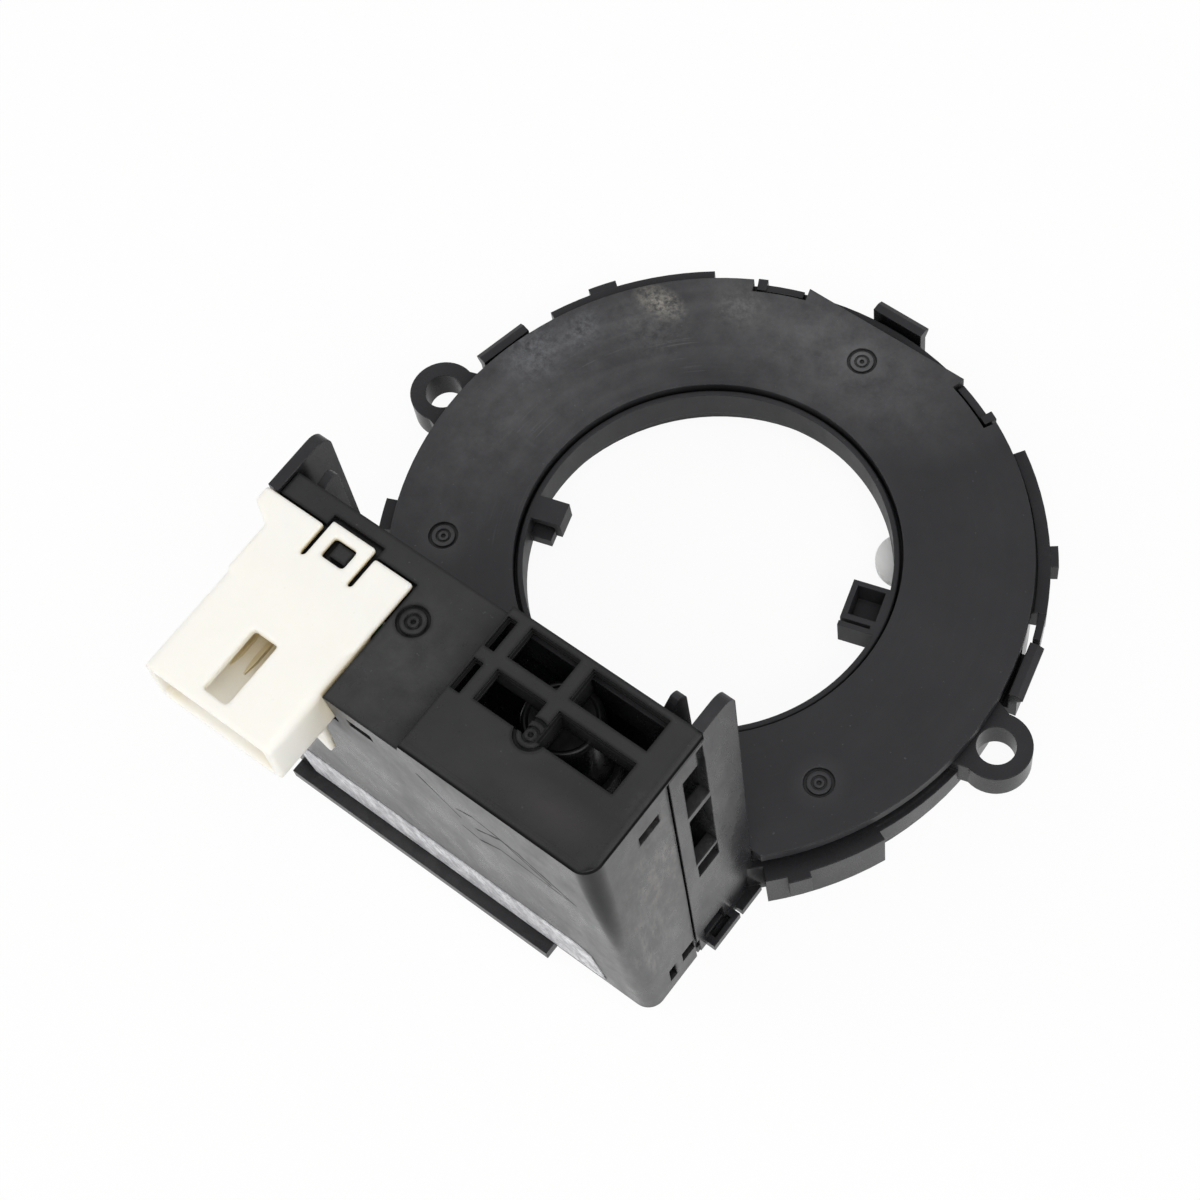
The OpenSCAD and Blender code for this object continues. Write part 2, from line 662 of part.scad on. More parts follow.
module box_cover() {
  ledge_top = plug_z1 - plate_t - edge_gap;
  color([0.22, 0.22, 0.23])
  difference() {
    union() {
      difference() {
        cover_form(0, 0, back_y);
        corner_cutter(corner_r, 0);
        difference() {
          cover_form(wall, top_t, back_y + 1);
          corner_cutter(corner_r - wall, wall);
        }
        block([x0 - 10, seam_y - seam_gap, -10], [x1 + 10, back_y + 5, plateau_z - top_t]);
        block([step_x + 2, seam_y - seam_gap, -10], [x1 + 10, back_y + 5, box_h - top_t]);
        block([x0 - 10, -100, -10], [x1 + 10, 0, 0]);
      }
      // ribs under the bars of the grid
      block([step_x + 2, back_y - 0.9 - win_d - bar_w, box_h - 5],
            [x1 - wall - fit, back_y - 0.9 - win_d, box_h - 1]);
      block([x1 - wall - 1, back_y - 0.9 - win_d - bar_w, box_h - 5], [x1 - 1, seam_y, box_h - 1]);
      block([bar_x, front_y + 1, box_h - 5], [bar_x + bar_w, back_y - 1.6, box_h - 1]);
      // gate boss at the front bar and ledge with the catch under the plug's tongue
      translate([bar_x + bar_w / 2, back_y - 11.3, box_h - 2])
        cylinder(r = 2.5, h = 2, $fn = 48);
      block([plug_x0 + 1 + fit, plug_back - 4.9, plug_z1 - 3.4],
            [plug_x1 + 1, back_y - 1.4 - fit, ledge_top]);
      block([plug_x - 0.9, plug_back - 2.8, ledge_top - 0.3],
            [plug_x + 1.5, plug_back - 0.8, plug_z1 - 0.4]);
    }
    // open corner for the plug shell
    block([x0 - 10, front_y - 10, plug_z0 - slip],
          [plug_x1 + plug_gap, plug_back - 4.9, box_h + 5]);
    block([x0 - 10, plug_back - 5, ledge_top + eps], [plug_x - 0.9, plug_back + plug_gap, box_h + 5]);
    block([plug_x + 1.5, plug_back - 5, ledge_top + eps],
          [plug_x1 + plug_gap, plug_back + plug_gap, box_h + 5]);
    block([plug_x - tongue_w / 2 - 0.2, plug_back - 0.8, ledge_top + eps],
          [plug_x + tongue_w / 2 + 0.3, plug_back + 1.8, box_h + 5]);
    block([plug_x - 2, plug_back - 5, ledge_top + eps], [plug_x + 2, plug_back - 2.8, box_h + 5]);
    block([x0 - 10, seam_y - 8, plug_z0 - slip], [x0 + wall + fit, 0, box_h + 5]);
    block([x0 - 10, seam_y - 8, plug_z0 - slip], [plug_x0 + 1 + fit, plug_back + fit, box_h + 5]);
    grid_windows();
    // slots on the end face and the small notch under the plateau's front edge
    block([x1 - 4, seam_y - 6.1, box_h - 8.8], [x1 + 2, seam_y - 2.4, box_h - 6.4]);
    block([x1 - 5, seam_y - 3.1, 4.7], [x1 + 2, seam_y - 0.6, 7.7]);
    block([x1 - 5, seam_y - 5.9, 3.2], [x1 + 2, seam_y - 4.5, 7.4]);
    block([plug_x1 + 3, front_y - 2, plateau_z - 5.6], [plug_x1 + 6.6, front_y + 2, plateau_z - 3.4]);
    // seat for the foot lip
    block([x0 - 10, front_y - 10, -1], [foot_x + 0.2, back_y, box_floor_t + slip]);
    // gate marks on the grid and the plateau
    translate([bar_x + bar_w / 2, back_y - 11.3, 0])
      gate_mark(box_h);
    translate([plug_x1 + 2.9, back_y - 7.3, 0])
      gate_mark(plateau_z);
  }
}

// Drive tab with a square pocket and a slot, on the grid side of the bore
module pocket_tab() {
  z0 = ledge_z + 0.2;
  difference() {
    block([bore_r - tab_reach - 0.2, -4, z0], [bore_r + 0.5, 3.2, rim_z]);
    block([bore_r - tab_reach + 0.6, -2, z0 + 0.8], [bore_r - 0.6, 2.5, rim_z + 1]);
    block([bore_r - tab_reach - 1, -3.3, z0 - 1], [bore_r - 1, -2.8, rim_z + 1]);
  }
}

// Drive tab shaped as a hook, with a lower lug, opposite the pocket tab
module hook_tab() {
  z0 = ledge_z + 0.2;
  block([bore_r - tab_reach + 0.7, -1.7, rim_z - 1.1], [bore_r + 0.5, 2, rim_z]);
  block([bore_r - tab_reach + 0.7, -1.7, rim_z - 3.4], [bore_r - tab_reach + 1.7, 2, rim_z]);
  block([bore_r - tab_reach + 0.7, -1.7, rim_z - 3.4], [bore_r + 0.5, -0.3, rim_z]);
  block([bore_r - tab_reach + 2, -1.7, z0], [bore_r + 0.5, 3.2, z0 + 1.8]);
}

module rotor() {
  color([0.13, 0.13, 0.14])
  union() {
    rotate_extrude($fn = 144)
      polygon([
        [bore_r, ledge_z + 0.02], [bore_r + 0.5, ledge_z + 0.02], [bore_r + 0.5, ledge_z - ledge_t + 0.2],
        [journal_r, ledge_z - ledge_t + 0.2], [journal_r, gear_z1], [rim_r, gear_z1],
        [rim_r, rim_z - 0.2], [rim_r - 0.2, rim_z], [bore_r, rim_z]
      ]);
    difference() {
      translate([0, 0, gear_z0])
        linear_extrude(gear_t)
          polygon(tooth_outline(rotor_teeth, rotor_pitch_r, 0));
      translate([0, 0, -1])
        cylinder(r = bore_r + 0.5, h = 20, $fn = 144);
    }
    rotate([0, 0, 16.5])
      pocket_tab();
    rotate([0, 0, 196.5])
      hook_tab();
  }
}

// Measuring gear with a magnet pocket below and a pin bore above
module measuring_gear(teeth, gx, gy, angle) {
  translate([gx, gy, 0])
    difference() {
      union() {
        translate([0, 0, gear_z0])
          linear_extrude(gear_t)
            polygon(tooth_outline(teeth, tooth_m * teeth / 2, angle + 180 + 180 / teeth));
        translate([0, 0, hub_z])
          cylinder(r = magnet_r + 0.8, h = gear_z0 - hub_z + eps, $fn = 48);
      }
      translate([0, 0, hub_z - 1])
        cylinder(r = magnet_r + slip, h = magnet_t + 1, $fn = 48);
      translate([0, 0, gear_z0 + 1])
        cylinder(r = pin_r + run_fit, h = 10, $fn = 32);
    }
}

module measuring_gear_a() {
  color([0.85, 0.83, 0.78])
    measuring_gear(teeth_a, gear_a_x, gear_a_y, gear_a_angle);
}

module measuring_gear_b() {
  color([0.85, 0.83, 0.78])
    measuring_gear(teeth_b, gear_b_x, gear_b_y, gear_b_angle);
}

// Round magnet in the hub of a measuring gear
module magnet(gx, gy) {
  color([0.3, 0.3, 0.32])
    translate([gx, gy, hub_z])
      cylinder(r = magnet_r, h = magnet_t - slip, $fn = 48);
}

module magnet_a() {
  magnet(gear_a_x, gear_a_y);
}

module magnet_b() {
  magnet(gear_b_x, gear_b_y);
}

module gear_pins() {
  color([0.75, 0.75, 0.78])
    for (g = [[gear_a_x, gear_a_y], [gear_b_x, gear_b_y]])
      translate([g[0], g[1], gear_z0 + 1.3])
        cylinder(r = pin_r, h = ring_h - 0.8 - gear_z0 - 1.3, $fn = 32);
}

module ring_board() {
  color([0.1, 0.35, 0.2])
    difference() {
      sector(step_r + wall + 0.3, support_r - 0.3, -152, -28, ring_board_z0, ring_board_z1);
      block([-60, -60, 0], [60, wall_y1 + 0.3, 20]);
    }
}

module sensor_chips() {
  color([0.1, 0.1, 0.1])
    for (g = [[gear_a_x, gear_a_y], [gear_b_x, gear_b_y]])
      translate([g[0] - 2, g[1] - 2, ring_board_z1])
        cube([4, 4, 0.9]);
}

// Bent pins that join the ring board to the main board
module link_pins() {
  link_z = ring_board_z1 + 0.9;
  color([0.8, 0.68, 0.35])
    for (i = [-2 : 2]) {
      block([i * 2.54 - 0.3, board_y0 - 0.8, link_z], [i * 2.54 + 0.3, wall_y1 + 2.4, link_z + 0.6]);
      block([i * 2.54 - 0.3, wall_y1 + 1.8, ring_board_z1], [i * 2.54 + 0.3, wall_y1 + 2.4, link_z + 0.3]);
    }
}

module main_board() {
  link_z = ring_board_z1 + 0.9;
  color([0.1, 0.38, 0.22])
    difference() {
      along_y(board_y0, board_y1, [
        [x0 + wall + 1.6, box_floor_t + 0.3], [x1 - wall - 2.4, box_floor_t + 0.3],
        [x1 - wall - 2.4, board_low_top - 2], [x1 - wall - 4.4, board_low_top],
        [step_x - 0.6, board_low_top], [step_x - 2.6, board_low_top + 2],
        [step_x - 2.6, board_top], [x0 + wall + 1.6, board_top]
      ]);
      for (x = post_xs)
        bar_y(x, post_z, board_y0 - 1, board_y1 + 1, stake_r);
      bar_y(post_xs[1], high_post_z, board_y0 - 1, board_y1 + 1, stake_r);
      for (i = [0 : terminals_n - 1])
        bar_y(plug_x + (i - (terminals_n - 1) / 2) * pitch, terminal_z, board_y0 - 1, board_y1 + 1, 0.55);
      for (i = [-2 : 2])
        bar_y(i * 2.54, link_z + 0.3, board_y0 - 1, board_y1 + 1, 0.5);
    }
}

// Slits and window of the tongue that snaps over the cover's catch
module tongue_cuts() {
  for (s = [-1, 1])
    block([plug_x + s * tongue_w / 2 - slit_w / 2, plug_back - slit_l, plug_z1 - 1.8],
          [plug_x + s * tongue_w / 2 + slit_w / 2, plug_back + 2, plug_z1 + 1]);
  block([plug_x - 1.75, plug_back - 3.4, plug_z1 - 1.8], [plug_x + 1.75, plug_back - 0.55, plug_z1 + 1]);
}

module plug_shell() {
  mouth_z0 = plug_z0 + plug_wall;
  mouth_z1 = plug_z1 - plug_wall;
  color([0.93, 0.92, 0.86])
  difference() {
    union() {
      along_y(plug_front, plug_solid1, concat(
        arc(plug_x0 + 1.5, plug_z0 + 1.5, 1.5, 180, 270, 5),
        arc(plug_x1 - 1.5, plug_z0 + 1.5, 1.5, 270, 360, 5),
        arc(plug_x1 - 1.3, plug_z1 - 1.3, 1.3, 0, 90, 6),
        arc(plug_x0 + 1.3, plug_z1 - 1.3, 1.3, 90, 180, 6)
      ));
      block([plug_x0, plug_solid1 - 3, plug_z1 - plate_t], [plug_x1, plug_back, plug_z1]);
      block([plug_x - tongue_w / 2 + slit_w / 2, plug_back - eps, plug_z1 - plate_t],
            [plug_x + tongue_w / 2 - slit_w / 2, plug_back + 1, plug_z1]);
      // side flange at the plug end and pointed apron against the front face
      translate([0, 0, plug_z0 + 2])
        linear_extrude(plug_h - 2)
          polygon([
            [x0, plug_back], [x0, plug_back - 2.2], [plug_x0 + 0.5, plug_back - 4.4], [plug_x0 + 1, plug_back]
          ]);
      along_y(front_y - 1.6, front_y - 0.5, [
        [plug_x0 + 2, plug_z0 + 1], [plug_x1 - 0.3, plug_z0 + 4.6], [plug_x1 - 0.3, plug_z0 + 1],
        [plug_x1 - 0.4, plug_z0 - 6.2], [plug_x1 - 4.4, plug_z0 - 1], [plug_x0 + 2, plug_z0 - 1]
      ]);
    }
    block([plug_x0 + plug_wall, plug_front - 1, mouth_z0], [plug_x1 - plug_wall, plug_solid0, mouth_z1]);
    block([plug_x - 1.9, plug_front + 1.8, plug_z1 - 2], [plug_x + 1.9, plug_front + 11, plug_z1 + 1]);
    tongue_cuts();
    for (i = [0 : terminals_n - 1])
      translate([plug_x + (i - (terminals_n - 1) / 2) * pitch, plug_solid0 - 1, terminal_z])
        block([-terminal_w / 2 - slip, 0, -terminal_w / 2 - slip],
              [terminal_w / 2 + slip, 20, terminal_w / 2 + slip]);
  }
}

module terminals() {
  color([0.82, 0.74, 0.5])
    for (i = [0 : terminals_n - 1])
      translate([plug_x + (i - (terminals_n - 1) / 2) * pitch, 0, terminal_z])
        block([-terminal_w / 2, plug_solid0 - 7, -terminal_w / 2], [terminal_w / 2, board_y1 + 1, terminal_w / 2]);
}

// Flat chip body on the board's front, with rows of leads on two sides
module chip(x, z, w, h, t, leads) {
  color([0.08, 0.08, 0.09])
    block([x - w / 2, board_y0 - t, z - h / 2], [x + w / 2, board_y0 - 0.15, z + h / 2]);
  color([0.75, 0.75, 0.77])
    for (s = [-1, 1])
      for (i = [0 : leads - 1]) {
        lead_x = x + (i - (leads - 1) / 2) * w * 0.86 / (leads - 1);
        z_in = z + s * h / 2;
        block([lead_x - 0.15, board_y0 - t / 2, min(z_in - s * 0.3, z_in + s * 0.6)],
              [lead_x + 0.15, board_y0 - t / 2 + 0.2, max(z_in - s * 0.3, z_in + s * 0.6)]);
        block([lead_x - 0.15, board_y0 - t / 2, min(z_in + s * 0.45, z_in + s * 0.65)],
              [lead_x + 0.15, board_y0, max(z_in + s * 0.45, z_in + s * 0.65)]);
      }
}

module controller_chip() {
  chip(x0 + 31, box_h - 38, 10, 10, 1.5, 10);
}

module transceiver_chip() {
  chip(x0 + 16, box_h - 25, 5, 4, 1.4, 4);
}

module regulator_chip() {
  chip(x0 + 12, box_h - 40, 6.5, 6, 2, 3);
}

module crystal() {
  color([0.8, 0.8, 0.82])
    block([x0 + 42, board_y0 - 1.2, box_h - 42], [x0 + 45.2, board_y0, box_h - 37]);
}

module capacitor() {
  color([0.12, 0.12, 0.14])
    translate([can_x, can_y, can_shelf_z])
      difference() {
        cylinder(r = can_r, h = can_top - can_shelf_z, $fn = 64);
        translate([0, 0, 2])
          rotate_extrude($fn = 64)
            translate([can_r + 0.3, 0])
              circle(r = 0.7, $fn = 24);
      }
  color([0.75, 0.75, 0.77])
    for (dx = [-2.5, 2.5]) {
      translate([can_x + dx, can_y, board_low_top - 5])
        cylinder(r = 0.35, h = can_shelf_z - board_low_top + 5 + eps, $fn = 24);
      bar_y(can_x + dx, board_low_top - 5, board_y1, can_y + 0.35, 0.35);
    }
}

module chip_capacitors() {
  color([0.6, 0.5, 0.38])
    for (i = [0 : 5])
      block([x0 + 22 + i * 3.4, board_y0 - 0.9, box_h - 49], [x0 + 23.3 + i * 3.4, board_y0, box_h - 47]);
}

module chip_resistors() {
  color([0.12, 0.12, 0.12])
    for (i = [0 : 5])
      block([x0 + 22 + i * 3.4, board_y0 - 0.5, box_h - 54], [x0 + 22.9 + i * 3.4, board_y0, box_h - 52.4]);
}

module label() {
  z1 = box_floor_t + 0.2 + label_h;
  color([0.72, 0.73, 0.75])
    translate([0, front_y, box_h])
      rotate([rake_a, 0, 0])
        translate([0, -eps, -box_h / cos(rake_a)])
          along_y(-label_t, 0, concat(
            [[x0 + 3, box_floor_t + 0.2], [x0 + box_l - 8.6, box_floor_t + 0.2]],
            [[x0 + box_l - 8.8, box_floor_t + 5]],
            arc(x0 + box_l - 12, z1 - 4, 3, 20, 90, 5),
            [[x0 + 3, z1 - 1]]
          ));
}

module bore_pad() {
  z1 = ledge_z - ledge_t;
  color([0.85, 0.85, 0.84])
    translate([0, 0, z1 - 1.2])
      difference() {
        intersection() {
          rotate([0, 0, 41])
            translate([seat_r + 0.4, 0, 0])
              cylinder(r = 4.1, h = 1.2);
          cylinder(r = step_r - 0.1, h = 1.2, $fn = 144);
        }
      }
}

base_housing();
ring_cover();
box_cover();
rotor();
measuring_gear_a();
measuring_gear_b();
magnet_a();
magnet_b();
gear_pins();
ring_board();
sensor_chips();
link_pins();
main_board();
plug_shell();
terminals();
controller_chip();
transceiver_chip();
regulator_chip();
crystal();
capacitor();
chip_capacitors();
chip_resistors();
label();
bore_pad();
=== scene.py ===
"""Steering angle sensor: finishes, three pieces built anew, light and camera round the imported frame."""

import json
import logging
import math
from dataclasses import dataclass, field
from enum import Enum
from typing import Sequence

import bmesh
import bpy
from mathutils import Matrix, Vector

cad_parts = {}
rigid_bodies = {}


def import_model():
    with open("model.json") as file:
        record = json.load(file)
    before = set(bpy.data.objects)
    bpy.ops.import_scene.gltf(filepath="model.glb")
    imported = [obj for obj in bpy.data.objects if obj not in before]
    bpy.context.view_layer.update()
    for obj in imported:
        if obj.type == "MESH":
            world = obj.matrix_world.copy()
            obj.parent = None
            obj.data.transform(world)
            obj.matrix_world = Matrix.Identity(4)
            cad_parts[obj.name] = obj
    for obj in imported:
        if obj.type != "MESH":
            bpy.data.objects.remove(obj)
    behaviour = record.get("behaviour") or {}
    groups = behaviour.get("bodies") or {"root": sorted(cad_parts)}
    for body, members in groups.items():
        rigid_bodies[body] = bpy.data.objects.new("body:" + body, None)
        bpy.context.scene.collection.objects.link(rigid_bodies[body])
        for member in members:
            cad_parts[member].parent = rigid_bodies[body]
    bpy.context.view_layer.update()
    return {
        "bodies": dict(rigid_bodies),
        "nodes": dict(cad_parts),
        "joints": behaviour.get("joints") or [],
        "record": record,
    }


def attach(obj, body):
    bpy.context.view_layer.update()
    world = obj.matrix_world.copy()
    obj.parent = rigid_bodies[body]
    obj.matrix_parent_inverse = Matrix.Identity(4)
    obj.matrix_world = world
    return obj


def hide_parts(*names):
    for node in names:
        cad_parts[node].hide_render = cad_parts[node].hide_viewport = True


LOG = logging.getLogger("sensor")
MM = 0.001
Pair = tuple[float, float]
Triple = tuple[float, float, float]
Colour = tuple[float, float, float]
Socket = bpy.types.NodeSocket
EVEN = (1.0, 1.0, 1.0)
UPWARD = (0.0, 0.0, 1.0)
WHITE = (1.0, 1.0, 1.0)


class Stamp(Enum):
    """How strongly the fine dents of a moulded surface show."""

    SMOOTH = 0.1
    SATIN = 0.3
    GRAINED = 0.5


@dataclass(frozen=True)
class Mottle:
    """A pattern of noise: its waves in a metre, octaves, and the noise values where it starts and is full."""

    scale: float
    detail: float = 4.0
    rough: float = 0.6
    span: Pair = (0.35, 0.7)
    stretch: Triple = EVEN


@dataclass(frozen=True)
class Dents:
    """Fine dents: their waves in a metre, octaves, height in millimetres and how strongly they show."""

    scale: float
    detail: float
    rough: float
    height: float
    strength: float


@dataclass(frozen=True)
class Arcs:
    """Fine lines round the ring's axis: lines in a metre of radius, and how fast they change along it."""

    rings: float
    turn: float
    offset: float
    span: Pair


class Tree:
    """Short ways to add and join the nodes of a material or a world."""

    def __init__(self, owner: bpy.types.Material | bpy.types.World) -> None:
        """Switches the owner's nodes on.

        Args:
            owner: The material or the world.
        """
        owner.use_nodes = True
        self.nodes = owner.node_tree.nodes
        self.links = owner.node_tree.links
        self.coordinates = self.node("ShaderNodeTexCoord").outputs

    def node(
        self, kind: str, inputs: dict[str | int, object] | None = None, **settings: object
    ) -> bpy.types.Node:
        """Adds a node, sets its options, and fills or joins its inputs.

        Args:
            kind: Blender's name of the node type.
            inputs: Values or sockets, by input name or number.
            **settings: The node's own options.

        Returns:
            The new node.
        """
        made = self.nodes.new(kind)
        for key, value in settings.items():
            setattr(made, key, value)
        self.fill(made, inputs or {})
        return made

    def fill(self, node: bpy.types.Node, inputs: dict[str | int, object]) -> None:
        """Joins a node's inputs to sockets or sets their values.

        Args:
            node: The node.
            inputs: Values or sockets, by input name or number.
        """
        for key, value in inputs.items():
            socket = node.inputs[key]
            if isinstance(value, bpy.types.NodeSocket):
                self.links.new(value, socket)
            elif socket.type == "RGBA":
                socket.default_value = (*value, 1.0)
            else:
                socket.default_value = value

    def math(self, operation: str, first: object, second: object = 0.0, clamp: bool = False) -> Socket:
        """Works out a number from one or two others.

        Args:
            operation: Blender's name of the operation.
            first: A number or socket.
            second: A number or socket.
            clamp: Whether the result stays between 0 and 1.

        Returns:
            The result.
        """
        made = self.node("ShaderNodeMath", {0: first, 1: second}, operation=operation, use_clamp=clamp)
        return made.outputs[0]

    def times(self, first: object, second: object, clamp: bool = False) -> Socket:
        """Multiplies two numbers or sockets."""
        return self.math("MULTIPLY", first, second, clamp)

    def plus(self, first: object, second: object) -> Socket:
        """Adds two numbers or sockets."""
        return self.math("ADD", first, second)

    def vector(
        self, operation: str, first: object, second: object = (0.0, 0.0, 0.0)
    ) -> bpy.types.NodeOutputs:
        """Works out a vector or a measure from one or two vectors.

        Args:
            operation: Blender's name of the operation.
            first: A vector or socket.
            second: A vector or socket.

        Returns:
            The outputs Vector and Value.
        """
        return self.node("ShaderNodeVectorMath", {0: first, 1: second}, operation=operation).outputs

    def seen(self) -> Socket:
        """Tells the camera's view from other light.

        Returns:
            1 for what is seen straight, in a reflection or through glass, or else 0.
        """
        rays = self.node("ShaderNodeLightPath").outputs
        straight = self.math("MAXIMUM", rays["Is Camera Ray"], rays["Is Glossy Ray"])
        return self.math("MAXIMUM", straight, rays["Is Transmission Ray"])


class Paint(Tree):
    """A new material with a principled shader, and short ways to make its patterns."""

    def __init__(self, name: str) -> None:
        """Makes the material.

        Args:
            name: Its name.
        """
        self.material = bpy.data.materials.new(name)
        super().__init__(self.material)
        self.shader = self.nodes["Principled BSDF"]
        self.place = self.coordinates["Object"]

    def finish(self, inputs: dict[str, object]) -> bpy.types.Material:
        """Fills the shader.

        Args:
            inputs: Values or sockets, by the shader's input names.

        Returns:
            The finished material.
        """
        self.fill(self.shader, inputs)
        return self.material

    def noise(self, scale: float, detail: float, rough: float, place: Socket | None = None) -> Socket:
        """Adds a noise texture.

        Args:
            scale: Waves in a metre.
            detail: Octaves.
            rough: Weight of the fine octaves.
            place: Coordinates, or the object's own.

        Returns:
            The texture's value.
        """
        texture = self.node("ShaderNodeTexNoise", {
            "Vector": place or self.place, "Scale": scale, "Detail": detail, "Roughness": rough})
        return texture.outputs["Fac"]

    def mottled(self, pattern: Mottle, lowest: float = 0.0) -> Socket:
        """Makes a mottled pattern.

        Args:
            pattern: The pattern.
            lowest: Its value between the patches.

        Returns:
            A value from the lowest to 1.
        """
        place = self.place
        if pattern.stretch != EVEN:
            place = self.vector("MULTIPLY", self.place, pattern.stretch)["Vector"]
        noise = self.noise(pattern.scale, pattern.detail, pattern.rough, place)
        return self.ramp(noise, pattern.span, (lowest, 1.0))

    def ramp(self, value: Socket, span: Pair, levels: Pair = (0.0, 1.0)) -> Socket:
        """Maps a value onto two greys and the shades between them.

        Args:
            value: What is mapped.
            span: The value where the first grey ends and the one where the second starts.
            levels: The two greys.

        Returns:
            The mapped value.
        """
        ramp = self.node("ShaderNodeValToRGB", {"Fac": value})
        for element, at, level in zip(ramp.color_ramp.elements, span, levels):
            element.position = at
            element.color = (level, level, level, 1.0)
        return ramp.outputs["Color"]

    def mix(self, factor: object, first: object, second: object, kind: str = "RGBA") -> Socket:
        """Mixes two colours or vectors.

        Args:
            factor: Share of the second.
            first: A colour, vector or socket.
            second: A colour, vector or socket.
            kind: Blender's name of what is mixed.

        Returns:
            The mix.
        """
        made = self.node("ShaderNodeMix", {"Factor": factor, "A": first, "B": second}, data_type=kind)
        return made.outputs["Result"]

    def near(self, centre: Triple, size: Triple, soft: float = 0.9) -> Socket:
        """Makes a soft mask of 1 inside an ellipsoid and 0 outside.

        Args:
            centre: The ellipsoid's centre in millimetres.
            size: Its half sizes in millimetres.
            soft: Share of the radius over which the mask fades.

        Returns:
            The mask.
        """
        scaled = self.node("ShaderNodeMapping", {
            "Vector": self.place, "Location": Vector(centre) * MM, "Scale": Vector(size) * MM},
            vector_type="TEXTURE").outputs["Vector"]
        return self.ramp(self.vector("LENGTH", scaled)["Value"], (1.0 - soft, 1.0), (1.0, 0.0))

    def dented(self, dents: Dents, under: Socket | None = None) -> Socket:
        """Makes the normals of fine dents.

        Args:
            dents: The dents.
            under: The normals below them.

        Returns:
            The dented normal.
        """
        noise = self.noise(dents.scale, dents.detail, dents.rough)
        return self.bump(noise, dents.height, dents.strength, under)

    def bump(self, height: Socket, full: float, strength: float, under: Socket | None = None) -> Socket:
        """Adds a bump.

        Args:
            height: The height map.
            full: Full height in millimetres.
            strength: Share of it that shows.
            under: The normals below it.

        Returns:
            The bumped normal.
        """
        inputs = {"Height": height, "Distance": full * MM, "Strength": strength}
        if under is not None:
            inputs["Normal"] = under
        return self.node("ShaderNodeBump", inputs).outputs["Normal"]

    def rounded(self, radius: float) -> Socket:
        """Gives normals that round sharp edges off with a radius in millimetres."""
        return self.node("ShaderNodeBevel", {"Radius": radius * MM}, samples=3).outputs["Normal"]

    def edge(self, rounded: Socket, span: Pair) -> Socket:
        """Makes a mask of 1 on sharp outer edges and 0 on flat faces.

        Args:
            rounded: Normals that round the edges off.
            span: Cosines of the turn at which the mask is full and at which it ends.

        Returns:
            The mask.
        """
        flat = self.node("ShaderNodeNewGeometry").outputs["Normal"]
        return self.ramp(self.vector("DOT_PRODUCT", rounded, flat)["Value"], span, (1.0, 0.0))

    def hollow_shade(self, reach: float, span: Pair = (0.25, 0.85)) -> Socket:
        """Makes a value that falls from 1 to 0 in grooves and corners, where shade is painted into the
        colour.

        Args:
            reach: How far apart the walls of a groove may stand, in millimetres.
            span: Shares of open sky at which the value is 0 and 1.

        Returns:
            The value.
        """
        found = self.node("ShaderNodeAmbientOcclusion", {"Distance": reach * MM}, samples=3)
        return self.ramp(found.outputs["AO"], span)

    def arcs(self, lines: Arcs) -> Socket:
        """Makes fine lines that run round the ring's axis.

        Args:
            lines: The lines.

        Returns:
            A value of 1 on the lines.
        """
        split = self.node("ShaderNodeSeparateXYZ", {0: self.place}).outputs
        radius = self.vector("LENGTH", self.place)["Value"]
        angle = self.math("ARCTAN2", split["Y"], split["X"])
        place = self.node("ShaderNodeCombineXYZ", {
            "X": self.times(radius, lines.rings), "Y": self.times(angle, lines.turn), "Z": lines.offset})
        return self.ramp(self.noise(1.0, 2.0, 0.5, place.outputs[0]), lines.span)


@dataclass(frozen=True)
class SoftPatch:
    """A soft patch of another tint: rubbed and dusty patches, and also painted highlights and painted shade
    bands, with its place and half sizes in millimetres.
    """

    centre: Triple
    size: Triple
    level: float
    grain: float
    tint: Colour = (0.42, 0.42, 0.42)
    stretch: Triple = EVEN
    fade: Pair = (0.35, 0.75)
    detail: float = 6.0
    rough: float = 0.75

    def mask(self, paint: Paint) -> Socket:
        """Makes the patch's mask.

        Args:
            paint: The material that it is for.

        Returns:
            The mask, at the patch's level.
        """
        mottle = Mottle(self.grain, self.detail, self.rough, self.fade, self.stretch)
        return paint.times(paint.times(paint.near(self.centre, self.size), paint.mottled(mottle)), self.level)


@dataclass(frozen=True)
class RoundScratches:
    """Arcs round the ring's axis that show most in one patch, given in millimetres."""

    level: float
    centre: Triple
    size: Triple
    soft: Arcs = Arcs(420.0, 1.1, 0.0, (0.48, 0.75))
    fine: Arcs = Arcs(2600.0, 2.4, 7.0, (0.6, 0.72))
    breaks: Mottle = Mottle(160.0, 4.0, 0.7, (0.45, 0.62))
    soft_share: float = 0.6
    elsewhere: float = 0.1
    tint: Colour = (0.2, 0.2, 0.205)

    def mask(self, paint: Paint) -> Socket:
        """Makes the scratches' mask.

        Args:
            paint: The material that it is for.

        Returns:
            The mask, at the scratches' level.
        """
        soft = paint.times(paint.arcs(self.soft), self.soft_share)
        fine = paint.times(paint.arcs(self.fine), paint.mottled(self.breaks))
        share = paint.plus(paint.near(self.centre, self.size), self.elsewhere)
        return paint.times(paint.times(paint.math("MAXIMUM", soft, fine), share), self.level)


